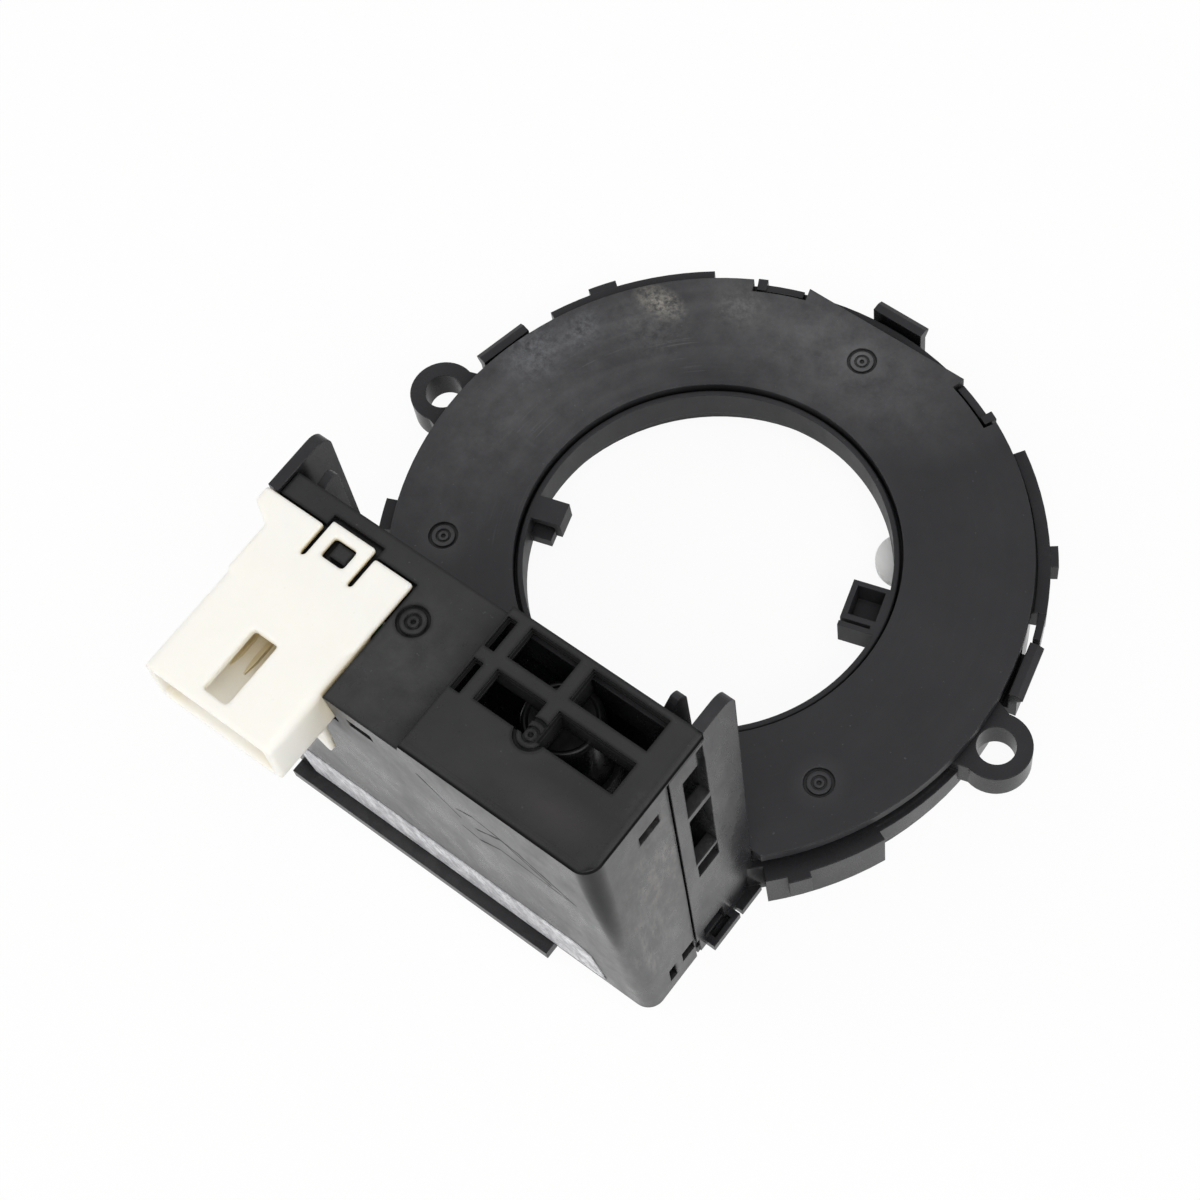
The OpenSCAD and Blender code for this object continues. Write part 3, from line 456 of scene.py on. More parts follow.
@dataclass(frozen=True)
class Strokes:
    """Thin dark lines on the front, through points given as x and z in millimetres."""

    paths: tuple[tuple[Pair, ...], ...]
    half_width: float = 0.14
    fade: float = 2.2
    sway: float = 0.5
    sway_scale: float = 700.0
    breaks: Mottle = Mottle(500.0, 3.0, 0.6, (0.3, 0.6))
    faintest: float = 0.4
    cover: float = 0.5
    dulling: float = 0.6
    tint: Colour = (0.008, 0.008, 0.008)

    def mask(self, paint: Paint, points: Sequence[Pair]) -> Socket:
        """Draws one line.

        Args:
            paint: The material that it is for.
            points: Places along the line.

        Returns:
            A mask of 1 on the line, broken in places.
        """
        flat = paint.vector("MULTIPLY", paint.place, (1.0 / MM, 0.0, 1.0 / MM))["Vector"]
        middle = paint.math("SUBTRACT", paint.noise(self.sway_scale, 2.0, 0.6), 0.5)
        sway = paint.times(middle, self.sway)
        nearest: Socket | float = 99.0
        for (x0, z0), (x1, z1) in zip(points, points[1:]):
            run = Vector((x1 - x0, 0.0, z1 - z0))
            from_start = paint.vector("SUBTRACT", flat, (x0, 0.0, z0))["Vector"]
            along = paint.vector("DOT_PRODUCT", from_start, tuple(run / run.length_squared))["Value"]
            share = paint.times(along, 1.0, clamp=True)
            foot = paint.node("ShaderNodeVectorMath", {0: tuple(run), "Scale": share}, operation="SCALE")
            gap = paint.vector("DISTANCE", from_start, foot.outputs["Vector"])["Value"]
            nearest = paint.math("MINIMUM", nearest, gap)
        span = (self.half_width, self.half_width * self.fade)
        line = paint.ramp(paint.plus(nearest, sway), span, (1.0, 0.0))
        return paint.times(line, paint.mottled(self.breaks, self.faintest))


@dataclass(frozen=True)
class BlackPlastic:
    """Black moulded plastic with fine grain, haze, specks, scratches, light worn edges that can instead be a
    painted dark reflection, painted shade in grooves and corners, and an optional painted dark band.
    """

    name: str
    roughness: float
    gloss: float
    colour: Colour = (0.024, 0.024, 0.026)
    haze: Colour = (0.042, 0.042, 0.045)
    haze_cover: float = 0.5
    clouds: Mottle = Mottle(70.0, 6.0, 0.7)
    cloud_dulling: float = 0.1
    streaks: Mottle = Mottle(240.0, 6.0, 0.75, (0.3, 0.72), (1.0, 1.0, 0.35))
    streak_dulling: float = 0.12
    specks: Mottle = Mottle(1500.0, 2.0, 0.5, (0.71, 0.77))
    speck_cover: float = 0.25
    speck_colour: Colour = (0.15, 0.15, 0.15)
    # Edge tint: light wear on most parts; set to black on the box cover, it is a painted dark reflection on
    # the rounded edges.
    edge_radius: float = 0.28
    edge_span: Pair = (0.8, 0.985)
    edge_patches: Mottle = Mottle(420.0, 4.0, 0.7, (0.4, 0.7))
    edge_cover: float = 0.35
    edge_wear_and_reflection_colour: Colour = (0.15, 0.15, 0.155)
    # groove: reach in millimetres of the painted shade in grooves and corners; the colour below is that
    # painted shade's dark colour.
    groove: float = 1.1
    groove_shade_colour: Colour = (0.004, 0.004, 0.0045)
    tint_patches: tuple[SoftPatch, ...] = ()
    patch_dulling: float = 0.3
    dulled: tuple[SoftPatch, ...] = ()
    round_scratches: RoundScratches | None = None
    strokes: Strokes | None = None
    # lip: where a painted dark band of shade and reflection goes, with its colour and gain; there the normals
    # are turned upward.
    lip: SoftPatch | None = None
    painted_band_colour: Colour = (0.001, 0.001, 0.001)
    painted_band_gain: float = 1.6
    grain: Stamp = Stamp.SATIN
    waves: Dents = Dents(110.0, 2.0, 0.5, 0.1, 0.15)
    dullest: float = 0.9

    def marked(self, paint: Paint, colour: Socket, rough: Socket) -> tuple[Socket, Socket]:
        """Lays the scratches and the rubbed patches over the plastic.

        Args:
            paint: The material.
            colour: The plain plastic's colour.
            rough: Its roughness.

        Returns:
            The marked plastic's colour and roughness.
        """
        if self.round_scratches:
            colour = paint.mix(self.round_scratches.mask(paint), colour, self.round_scratches.tint)
        # Tinted patches: rubbed and dusty ones, and on the box a painted warm highlight.
        for spot in self.tint_patches:
            patch = spot.mask(paint)
            colour = paint.mix(patch, colour, spot.tint)
            rough = paint.plus(rough, paint.times(patch, self.patch_dulling))
        for spot in self.dulled:
            rough = paint.plus(rough, spot.mask(paint))
        if self.strokes:
            for points in self.strokes.paths:
                line = self.strokes.mask(paint, points)
                rough = paint.plus(rough, paint.times(line, self.strokes.dulling))
                colour = paint.mix(paint.times(line, self.strokes.cover), colour, self.strokes.tint)
        return colour, rough

    def make(self) -> bpy.types.Material:
        """Builds the material.

        Returns:
            The finished material.
        """
        paint = Paint(self.name)
        rounded = paint.rounded(self.edge_radius)
        cloudy = paint.mottled(self.clouds)
        colour = paint.mix(paint.times(cloudy, self.haze_cover), self.colour, self.haze)
        specks = paint.times(paint.mottled(self.specks), self.speck_cover)
        colour = paint.mix(specks, colour, self.speck_colour)
        # Edge tint: light wear on most parts, a painted dark reflection on the box cover.
        edges = paint.times(paint.edge(rounded, self.edge_span), paint.mottled(self.edge_patches))
        colour = paint.mix(paint.times(edges, self.edge_cover), colour, self.edge_wear_and_reflection_colour)
        rough = paint.plus(paint.times(cloudy, self.cloud_dulling), self.roughness)
        rough = paint.plus(rough, paint.times(paint.mottled(self.streaks), self.streak_dulling))
        colour, rough = self.marked(paint, colour, rough)
        # Painted shade: the colour darkens in grooves and corners.
        colour = paint.mix(paint.hollow_shade(self.groove), self.groove_shade_colour, colour)
        normal = paint.dented(Dents(2600.0, 3.0, 0.6, 0.02, self.grain.value), rounded)
        normal = paint.dented(self.waves, normal)
        # Painted shade and reflection: a dark band whose normals are turned upward.
        if self.lip:
            line = paint.times(self.lip.mask(paint), self.painted_band_gain, clamp=True)
            colour = paint.mix(line, colour, self.painted_band_colour)
            normal = paint.mix(line, normal, UPWARD, "VECTOR")
        return paint.finish({
            "Base Color": colour, "Roughness": paint.math("MINIMUM", rough, self.dullest),
            "Specular IOR Level": self.gloss, "Normal": normal})


@dataclass(frozen=True)
class IvoryPlastic:
    """White moulded plastic, with a yellow painted shade in its depths and hollows."""

    name: str
    colour: Colour = (0.92, 0.9, 0.84)
    # depth: the yellow colour of the painted shade in hollows and depths, with its reach below.
    depth: Colour = (0.7, 0.58, 0.34)
    hollow_shade_reach: float = 6.0
    haze: Colour = (0.86, 0.83, 0.74)
    haze_cover: float = 0.3
    clouds: Mottle = Mottle(150.0, 5.0, 0.6)
    cloud_dulling: float = 0.12
    specks: Mottle = Mottle(1300.0, 2.0, 0.5, (0.74, 0.8))
    speck_cover: float = 0.2
    speck_colour: Colour = (0.5, 0.46, 0.38)
    roughness: float = 0.4
    edge_radius: float = 0.6
    dents: Dents = Dents(900.0, 4.0, 0.6, 0.02, 0.4)
    glow: float = 0.15
    glow_reach: Triple = (2.0, 1.6, 1.0)

    def make(self) -> bpy.types.Material:
        """Builds the material.

        Returns:
            The finished material.
        """
        paint = Paint(self.name)
        cloudy = paint.mottled(self.clouds)
        colour = paint.mix(paint.times(cloudy, self.haze_cover), self.colour, self.haze)
        specks = paint.times(paint.mottled(self.specks), self.speck_cover)
        colour = paint.mix(specks, colour, self.speck_colour)
        return paint.finish({
            # Painted shade: yellow in hollows and depths.
            "Base Color": paint.mix(paint.hollow_shade(self.hollow_shade_reach), self.depth, colour),
            "Roughness": paint.plus(paint.times(cloudy, self.cloud_dulling), self.roughness),
            "Subsurface Weight": self.glow, "Subsurface Radius": Vector(self.glow_reach) * MM,
            "Subsurface Scale": 1.0, "Normal": paint.dented(self.dents, paint.rounded(self.edge_radius))})


@dataclass(frozen=True)
class LabelFilm:
    """Bare silver and white film, mottled and rubbed."""

    name: str
    colour: Colour = (0.38, 0.38, 0.4)
    white: Colour = (0.78, 0.78, 0.8)
    broad: Mottle = Mottle(420.0, 6.0, 0.8, (0.4, 0.6), (1.0, 1.0, 0.5))
    dark: Colour = (0.26, 0.26, 0.28)
    dark_cover: float = 0.55
    fine: Mottle = Mottle(1100.0, 4.0, 0.7, (0.45, 0.62), (1.0, 1.0, 0.5))
    roughness: float = 0.35
    dulling: float = 0.25
    creases: Pair = (0.03, 0.5)

    def make(self) -> bpy.types.Material:
        """Builds the material.

        Returns:
            The finished material.
        """
        paint = Paint(self.name)
        fine = paint.mottled(self.fine)
        colour = paint.mix(paint.mottled(self.broad), self.colour, self.white)
        return paint.finish({
            "Base Color": paint.mix(paint.times(fine, self.dark_cover), colour, self.dark),
            "Roughness": paint.plus(paint.times(fine, self.dulling), self.roughness),
            "Normal": paint.bump(fine, *self.creases)})


@dataclass(frozen=True)
class Metal:
    """Metal with fine dents and uneven gloss."""

    name: str
    colour: Colour
    roughness: float
    clouds: Mottle = Mottle(500.0, 4.0, 0.6)
    cloud_cover: float = 0.4
    cloud_shade: float = 0.7
    cloud_dulling: float = 0.15
    dents: Dents = Dents(3000.0, 2.0, 0.5, 0.01, 0.3)

    def make(self) -> bpy.types.Material:
        """Builds the material.

        Returns:
            The finished material.
        """
        paint = Paint(self.name)
        cloudy = paint.mottled(self.clouds)
        dull = tuple(self.cloud_shade * part for part in self.colour)
        return paint.finish({
            "Metallic": 1.0,
            "Base Color": paint.mix(paint.times(cloudy, self.cloud_cover), self.colour, dull),
            "Roughness": paint.plus(paint.times(cloudy, self.cloud_dulling), self.roughness),
            "Normal": paint.dented(self.dents)})


@dataclass(frozen=True)
class Coated:
    """Painted, moulded or sintered surface with a slight mottle."""

    name: str
    colour: Colour
    other: Colour
    scale: float
    roughness: float
    gloss: float = 0.5
    cloud_dulling: float = 0.12
    finer: float = 6.0

    def make(self) -> bpy.types.Material:
        """Builds the material.

        Returns:
            The finished material.
        """
        paint = Paint(self.name)
        cloudy = paint.mottled(Mottle(self.scale, 5.0))
        return paint.finish({
            "Base Color": paint.mix(cloudy, self.colour, self.other), "Specular IOR Level": self.gloss,
            "Roughness": paint.plus(paint.times(cloudy, self.cloud_dulling), self.roughness),
            "Normal": paint.dented(Dents(self.scale * self.finer, 3.0, 0.6, 0.01, 0.4))})


@dataclass(frozen=True)
class SolderMask:
    """Green solder mask over copper tracks, with tinned pads."""

    name: str
    colour: Colour = (0.01, 0.085, 0.03)
    track: Colour = (0.02, 0.17, 0.055)
    track_scale: float = 180.0
    track_gap: float = 0.05
    track_length: float = 1.7
    track_pitch: float = 0.32
    track_bump: Pair = (0.04, 0.5)
    wired: Mottle = Mottle(90.0, 2.0, 0.6, (0.42, 0.5))
    pad: Colour = (0.5, 0.48, 0.4)
    pad_scale: float = 260.0
    pad_edge: Pair = (0.05, 0.07)
    pad_cover: float = 0.6
    roughness: float = 0.28

    def make(self) -> bpy.types.Material:
        """Builds the material.

        Returns:
            The finished material.
        """
        paint = Paint(self.name)
        split = paint.node("ShaderNodeSeparateXYZ", {0: paint.place}).outputs
        flat = paint.node("ShaderNodeCombineXYZ", {"X": split["X"], "Y": paint.plus(split["Z"], split["Y"])})
        bricks = paint.node("ShaderNodeTexBrick", {
            "Vector": flat.outputs[0], "Scale": self.track_scale, "Mortar Size": self.track_gap,
            "Mortar Smooth": 0.1, "Brick Width": self.track_length, "Row Height": self.track_pitch,
        }, offset=0.37, squash=0.6, squash_frequency=3)
        tracks = paint.times(bricks.outputs["Fac"], paint.mottled(self.wired))
        cells = paint.node("ShaderNodeTexVoronoi", {"Vector": paint.place, "Scale": self.pad_scale},
                           distance="CHEBYCHEV")
        pads = paint.ramp(cells.outputs["Distance"], self.pad_edge, (1.0, 0.0))
        colour = paint.mix(tracks, self.colour, self.track)
        return paint.finish({
            "Base Color": paint.mix(paint.times(pads, self.pad_cover), colour, self.pad),
            "Roughness": self.roughness, "Normal": paint.bump(tracks, *self.track_bump)})


def skin(work: bmesh.types.BMesh, rings: Sequence[Sequence[bmesh.types.BMVert]]) -> None:
    """Joins rings of points into a closed body.

    Args:
        work: The mesh that holds the points.
        rings: Rings of as many points each, from one end to the other.
    """
    for low, high in zip(rings, rings[1:]):
        for i in range(len(low)):
            after = (i + 1) % len(low)
            work.faces.new((low[i], low[after], high[after], high[i]))
    work.faces.new(list(reversed(rings[0])))
    work.faces.new(rings[-1])


def turns(sides: int) -> list[float]:
    """Gives the angles of a circle's corners."""
    return [2 * math.pi * i / sides for i in range(sides)]


def solid(work: bmesh.types.BMesh, name: str) -> bpy.types.Mesh:
    """Turns a body in millimetres into a mesh in metres.

    Args:
        work: The body, which is freed.
        name: The mesh's name.

    Returns:
        The mesh.
    """
    bmesh.ops.recalc_face_normals(work, faces=work.faces)
    bmesh.ops.scale(work, verts=work.verts, vec=(MM, MM, MM))
    mesh = bpy.data.meshes.new(name)
    work.to_mesh(mesh)
    work.free()
    return mesh


@dataclass
class SubAssembly:
    """Pieces that belong together, with the means to dress them and to put built ones in place."""

    frame: dict

    def wear(self, material: bpy.types.Material, *nodes: str) -> None:
        """Gives CAD nodes a finish.

        Args:
            material: The finish.
            *nodes: The nodes' names.
        """
        for name in nodes:
            mesh = self.frame["nodes"][name].data
            mesh.materials.clear()
            mesh.materials.append(material)
            LOG.info("node %s wears %s", name, material.name)

    def stand_in(
        self, name: str, mesh: bpy.types.Mesh, node: str, slot: str, material: bpy.types.Material
    ) -> None:
        """Puts a built piece in the place of a node of the housing.

        Args:
            name: The piece's name.
            mesh: Its mesh, in place.
            node: The node that it stands for.
            slot: The record's slot; not used.
            material: The finish.
        """
        mesh.materials.clear()
        mesh.materials.append(material)
        piece = bpy.data.objects.new(name, mesh)
        bpy.context.scene.collection.objects.link(piece)
        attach(piece, "housing")
        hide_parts(node)
        LOG.info("piece %s of %d faces stands for %s", name, len(mesh.polygons), node)


@dataclass
class Base(SubAssembly):
    """The frame with the ears, strips, foot and end wall, and the pad in the bore."""

    end_x: float = 31.5
    left_x: float = -31.0
    foot_y: float = -55.6
    foot_length: float = 72.0
    # Reach in millimetres of the painted shade in the frame's grooves and next to the ring.
    groove: float = 7.0

    def rubbed(self) -> tuple[SoftPatch, ...]:
        """Lists the dusty patches of the end wall and the plug's end, and a lighter band along the foot lip.

        Returns:
            The patches.
        """
        dusty, grey, dark = (0.36, 0.35, 0.33), (0.3, 0.3, 0.3), (0.2, 0.2, 0.2)
        upright = (1.0, 1.0, 0.4)
        foot_size = (self.foot_length / 2, 3.0, 3.0)
        return (
            SoftPatch((self.end_x, -37.5, 42.0), (3.0, 7.0, 30.0), 0.2, 420.0, dusty, upright),
            SoftPatch((-8.0, self.foot_y, 1.8), foot_size, 0.34, 420.0, dark, fade=(0.1, 0.7)),
            SoftPatch((self.left_x, -33.5, 50.0), (3.0, 6.0, 20.0), 0.12, 420.0, grey, upright),
        )

    def dress(self) -> None:
        """Gives the frame worn satin plastic with painted shade in its grooves, and the pad a plain white."""
        black = BlackPlastic(
            "base_black", 0.16, 0.12, edge_cover=0.5, groove=self.groove, tint_patches=self.rubbed())
        self.wear(black.make(), "base_housing")
        white = Coated("pad_white", (0.92, 0.92, 0.91), (0.84, 0.84, 0.83), 300.0, 0.4)
        self.wear(white.make(), "bore_pad")


@dataclass
class Ring(SubAssembly):
    """The flat cover over the ring, rubbed pale on its far left side."""

    top: float = 12.0
    mark_ring: float = 37.3
    mark_angles: Triple = (90.7, 211.3, 330.3)
    mark_shade: float = 4.4

    def rub(
        self, centre: Pair, size: Pair, level: float, grain: float, tint: Colour, fade: Pair
    ) -> SoftPatch:
        """Places a rubbed patch on the ring's top.

        Args:
            centre: Its centre along the box and from the box to the ring, in millimetres.
            size: Half its sizes the same ways.
            level: How strongly it shows.
            grain: Waves of its mottle in a metre.
            tint: Its colour.
            fade: Where in the mottle it starts and is full.

        Returns:
            The patch.
        """
        return SoftPatch((*centre, self.top), (*size, 6.0), level, grain, tint, fade=fade)

    def rubbed(self) -> tuple[SoftPatch, ...]:
        """Lists the rubbed, dusty and hazy patches.

        Returns:
            The patches.
        """
        blue, warm, pale = (0.34, 0.35, 0.38), (0.5, 0.47, 0.4), (0.42, 0.4, 0.38)
        plain, grey = (0.36, 0.36, 0.36), (0.2, 0.2, 0.205)
        broad = (0.15, 0.75)
        return (
            self.rub((-40.1, 11.9), (6.0, 7.0), 0.42, 900.0, blue, (0.36, 0.74)),
            self.rub((-36.8, 18.8), (3.8, 4.8), 0.42, 1000.0, blue, (0.38, 0.74)),
            self.rub((-30.0, 28.8), (5.0, 3.0), 0.75, 1100.0, warm, (0.4, 0.7)),
            self.rub((-29.0, 25.0), (8.0, 7.0), 0.2, 900.0, plain, (0.36, 0.72)),
            self.rub((-20.0, 34.9), (5.0, 4.4), 0.3, 1000.0, pale, (0.4, 0.74)),
            self.rub((-33.0, 20.0), (22.0, 26.0), 0.22, 200.0, grey, broad),
            self.rub((-37.0, -2.0), (16.0, 26.0), 0.26, 200.0, grey, broad),
            self.rub((-6.0, 37.0), (30.0, 15.0), 0.5, 200.0, grey, broad),
        )

    def marks(self) -> tuple[SoftPatch, ...]:
        """Lists the faint haze round the three moulding marks.

        Returns:
            The patches.
        """
        size, grey = (self.mark_shade, self.mark_shade), (0.36, 0.36, 0.37)
        angles = [math.radians(angle) for angle in self.mark_angles]
        centres = [(self.mark_ring * math.cos(angle), self.mark_ring * math.sin(angle)) for angle in angles]
        return tuple(self.rub(centre, size, 0.05, 300.0, grey, (0.1, 0.5)) for centre in centres)

    def dress(self) -> None:
        """Gives the cover matt plastic with fine scratches round the bore."""
        black = BlackPlastic(
            "ring_black", 0.36, 0.27, (0.015, 0.015, 0.017), (0.026, 0.026, 0.028), grain=Stamp.GRAINED,
            round_scratches=RoundScratches(0.2, (-30.0, 20.0, self.top), (34.0, 40.0, 20.0)),
            tint_patches=self.rubbed() + self.marks())
        self.wear(black.make(), "ring_cover")


@dataclass
class Box(SubAssembly):
    """The upright box's cover with its grid and raked front, and the bare film on the front."""

    end_x: float = 31.2
    top: float = 63.0
    front_y: float = -57.0
    rim: float = 0.65
    # Height of the painted dark band of shade and reflection under the top rim.
    painted_band_height: float = 64.9
    # Reach in millimetres of the painted shade in the cover's grooves and corners.
    groove: float = 3.4

    def scratches(self) -> Strokes:
        """Places the long scratches on the raked front.

        Returns:
            The scratches.
        """
        loop = ((10, 51.8), (12.6, 53.5), (18.9, 50.7), (26, 43.2), (14.9, 44.9), (11.2, 41.9), (8.8, 43.3))
        hook = ((12.0, 47.5), (16.5, 51.6), (22.5, 45.0))
        dash = ((5.0, 56.0), (9.5, 48.0))
        return Strokes((loop, hook, dash))

    def rubbed(self) -> tuple[SoftPatch, ...]:
        """Lists the smears of the end face, the haze of the front and the top, and a painted warm highlight
        at the top's front right corner.

        Returns:
            The patches.
        """
        grey, shade = (0.4, 0.4, 0.4), (0.24, 0.24, 0.245)
        brown, sand, warm_highlight = (0.4, 0.37, 0.34), (0.46, 0.44, 0.42), (0.2, 0.165, 0.15)
        upright, drips = (1.0, 1.0, 0.4), (1.0, 1.0, 0.16)
        return (
            SoftPatch((self.end_x, -48.0, 44.0), (3.0, 9.0, 24.0), 0.5, 600.0, brown, upright, (0.48, 0.72)),
            SoftPatch((self.end_x, -52.0, 24.0), (3.0, 6.0, 18.0), 0.4, 700.0, sand, drips, (0.48, 0.68)),
            SoftPatch((17.0, self.front_y, 50.0), (14.0, 4.0, 14.0), 0.2, 420.0, grey, fade=(0.42, 0.7)),
            SoftPatch((-3.0, self.front_y, 48.0), (16.0, 4.0, 16.0), 0.14, 500.0, grey, fade=(0.42, 0.7)),
            SoftPatch((0.0, -50.0, self.top), (26.0, 14.0, 3.0), 0.14, 350.0, shade, fade=(0.2, 0.7)),
            # Painted highlight: a soft warm band where the top plate rounds down at the front right corner.
            SoftPatch((24.0, -54.5, 65.5), (9.0, 3.0, 3.0), 0.08, 60.0, warm_highlight, fade=(0.0, 0.3)),
        )

    def dress(self) -> None:
        """Gives the cover glossy plastic with a painted dark reflection on its edges and a painted dark band
        of shade and reflection under its top rim, and the label a mottled film.
        """
        even = (0.0, 0.1)
        front_edge = SoftPatch((self.end_x, self.front_y - 0.4, 33.0), (2.0, 2.0, 110.0), 0.55, 60.0, fade=even)
        # Painted shade and reflection: a thin dark band under the top rim.
        painted_rim_band = SoftPatch((0.0, -50.0, self.painted_band_height), (300.0, 300.0, 0.7), 1.0, 60.0, fade=even)
        # The black edge tint, full all along the edges, is a painted dark reflection.
        black = BlackPlastic(
            "box_black", 0.2, 0.17, (0.023, 0.023, 0.024), (0.039, 0.039, 0.04), edge_radius=self.rim,
            edge_span=(0.93, 0.998), edge_patches=Mottle(420.0, 4.0, 0.7, (0.0, 0.05)), edge_cover=1.0,
            edge_wear_and_reflection_colour=(0.0, 0.0, 0.0), groove=self.groove, tint_patches=self.rubbed(), dulled=(front_edge,),
            strokes=self.scratches(), lip=painted_rim_band)
        self.wear(black.make(), "box_cover")
        self.wear(LabelFilm("label_film").make(), "label")


@dataclass
class Plug(SubAssembly):
    """The ivory shell, built anew with soft rounded rims, and its tinned pins."""

    weld: float = 0.002
    grid: float = 0.22
    softening: int = 6
    share_kept: float = 0.45
    pins: int = 8
    middle: float = -17.9
    pitch: float = 2.2
    pin_width: float = 0.64
    pin_height: float = 58.5
    pin_ends: Pair = (-60.7, -45.6)
    taper: float = 2.0
    tip_share: float = 0.35

    def shell(self) -> bpy.types.Mesh:
        """Builds the shell's rounded mesh from the node's form.

        Returns:
            The mesh, in place.
        """
        form = self.frame["nodes"]["plug_shell"].data.copy()
        work = bmesh.new()
        work.from_mesh(form)
        bmesh.ops.remove_doubles(work, verts=work.verts, dist=self.weld * MM)
        work.to_mesh(form)
        work.free()
        blank = bpy.data.objects.new("plug_blank", form)
        bpy.context.scene.collection.objects.link(blank)
        voxels = blank.modifiers.new("voxels", "REMESH")
        voxels.mode = "VOXEL"
        voxels.voxel_size = self.grid * MM
        voxels.use_smooth_shade = True
        smooth = blank.modifiers.new("smooth", "SMOOTH")
        smooth.factor = 0.5
        smooth.iterations = self.softening
        fewer = blank.modifiers.new("fewer", "DECIMATE")
        fewer.ratio = self.share_kept
        mesh = bpy.data.meshes.new_from_object(blank.evaluated_get(bpy.context.evaluated_depsgraph_get()))
        bpy.data.objects.remove(blank)
        mesh.shade_smooth()
        return mesh

    def row(self) -> bpy.types.Mesh:
        """Builds the row of square pins with tapered tips.

        Returns:
            The mesh, in place.
        """
        work = bmesh.new()
        tip, root = self.pin_ends
        half = self.pin_width / 2
        stations = ((tip, half * self.tip_share), (tip + self.taper, half), (root, half))
        square = ((-1, -1), (1, -1), (1, 1), (-1, 1))
        for i in range(self.pins):
            x = self.middle + (i - (self.pins - 1) / 2) * self.pitch
            skin(work, [
                [work.verts.new((x + across * wide, y, self.pin_height + up * wide)) for across, up in square]
                for y, wide in stations
            ])
        return solid(work, "pin_row_mesh")

    def dress(self) -> None:
        """Puts the rounded shell in place, in ivory, with the row of tinned pins."""
        ivory = IvoryPlastic("ivory_shell").make()
        tinned = Metal("pin_tinned", (0.78, 0.7, 0.5), 0.3).make()
        self.stand_in("plug_shell_rounded", self.shell(), "plug_shell", "white_plug", ivory)
        self.stand_in("pin_row", self.row(), "terminals", "pin_brass", tinned)
        self.wear(tinned, "link_pins")


@dataclass
class GearTrain(SubAssembly):
    """The turning ring with its drive tabs, the two measuring gears, their magnets and pins."""

    gear_mottle: float = 200.0
    magnet_mottle: float = 600.0

    def dress(self) -> None:
        """Dresses the turning parts."""
        black = BlackPlastic("rotor_black", 0.4, 0.2, (0.018, 0.018, 0.02), grain=Stamp.SMOOTH)
        self.wear(black.make(), "rotor")
        white = Coated("gear_white", (0.8, 0.78, 0.72), (0.72, 0.7, 0.62), self.gear_mottle, 0.35)
        self.wear(white.make(), "measuring_gear_a", "measuring_gear_b")
        grey = Coated("magnet_grey", (0.06, 0.06, 0.065), (0.1, 0.1, 0.1), self.magnet_mottle, 0.5)
        self.wear(grey.make(), "magnet_a", "magnet_b")
        self.wear(Metal("pin_steel", (0.6, 0.6, 0.62), 0.25).make(), "gear_pins")


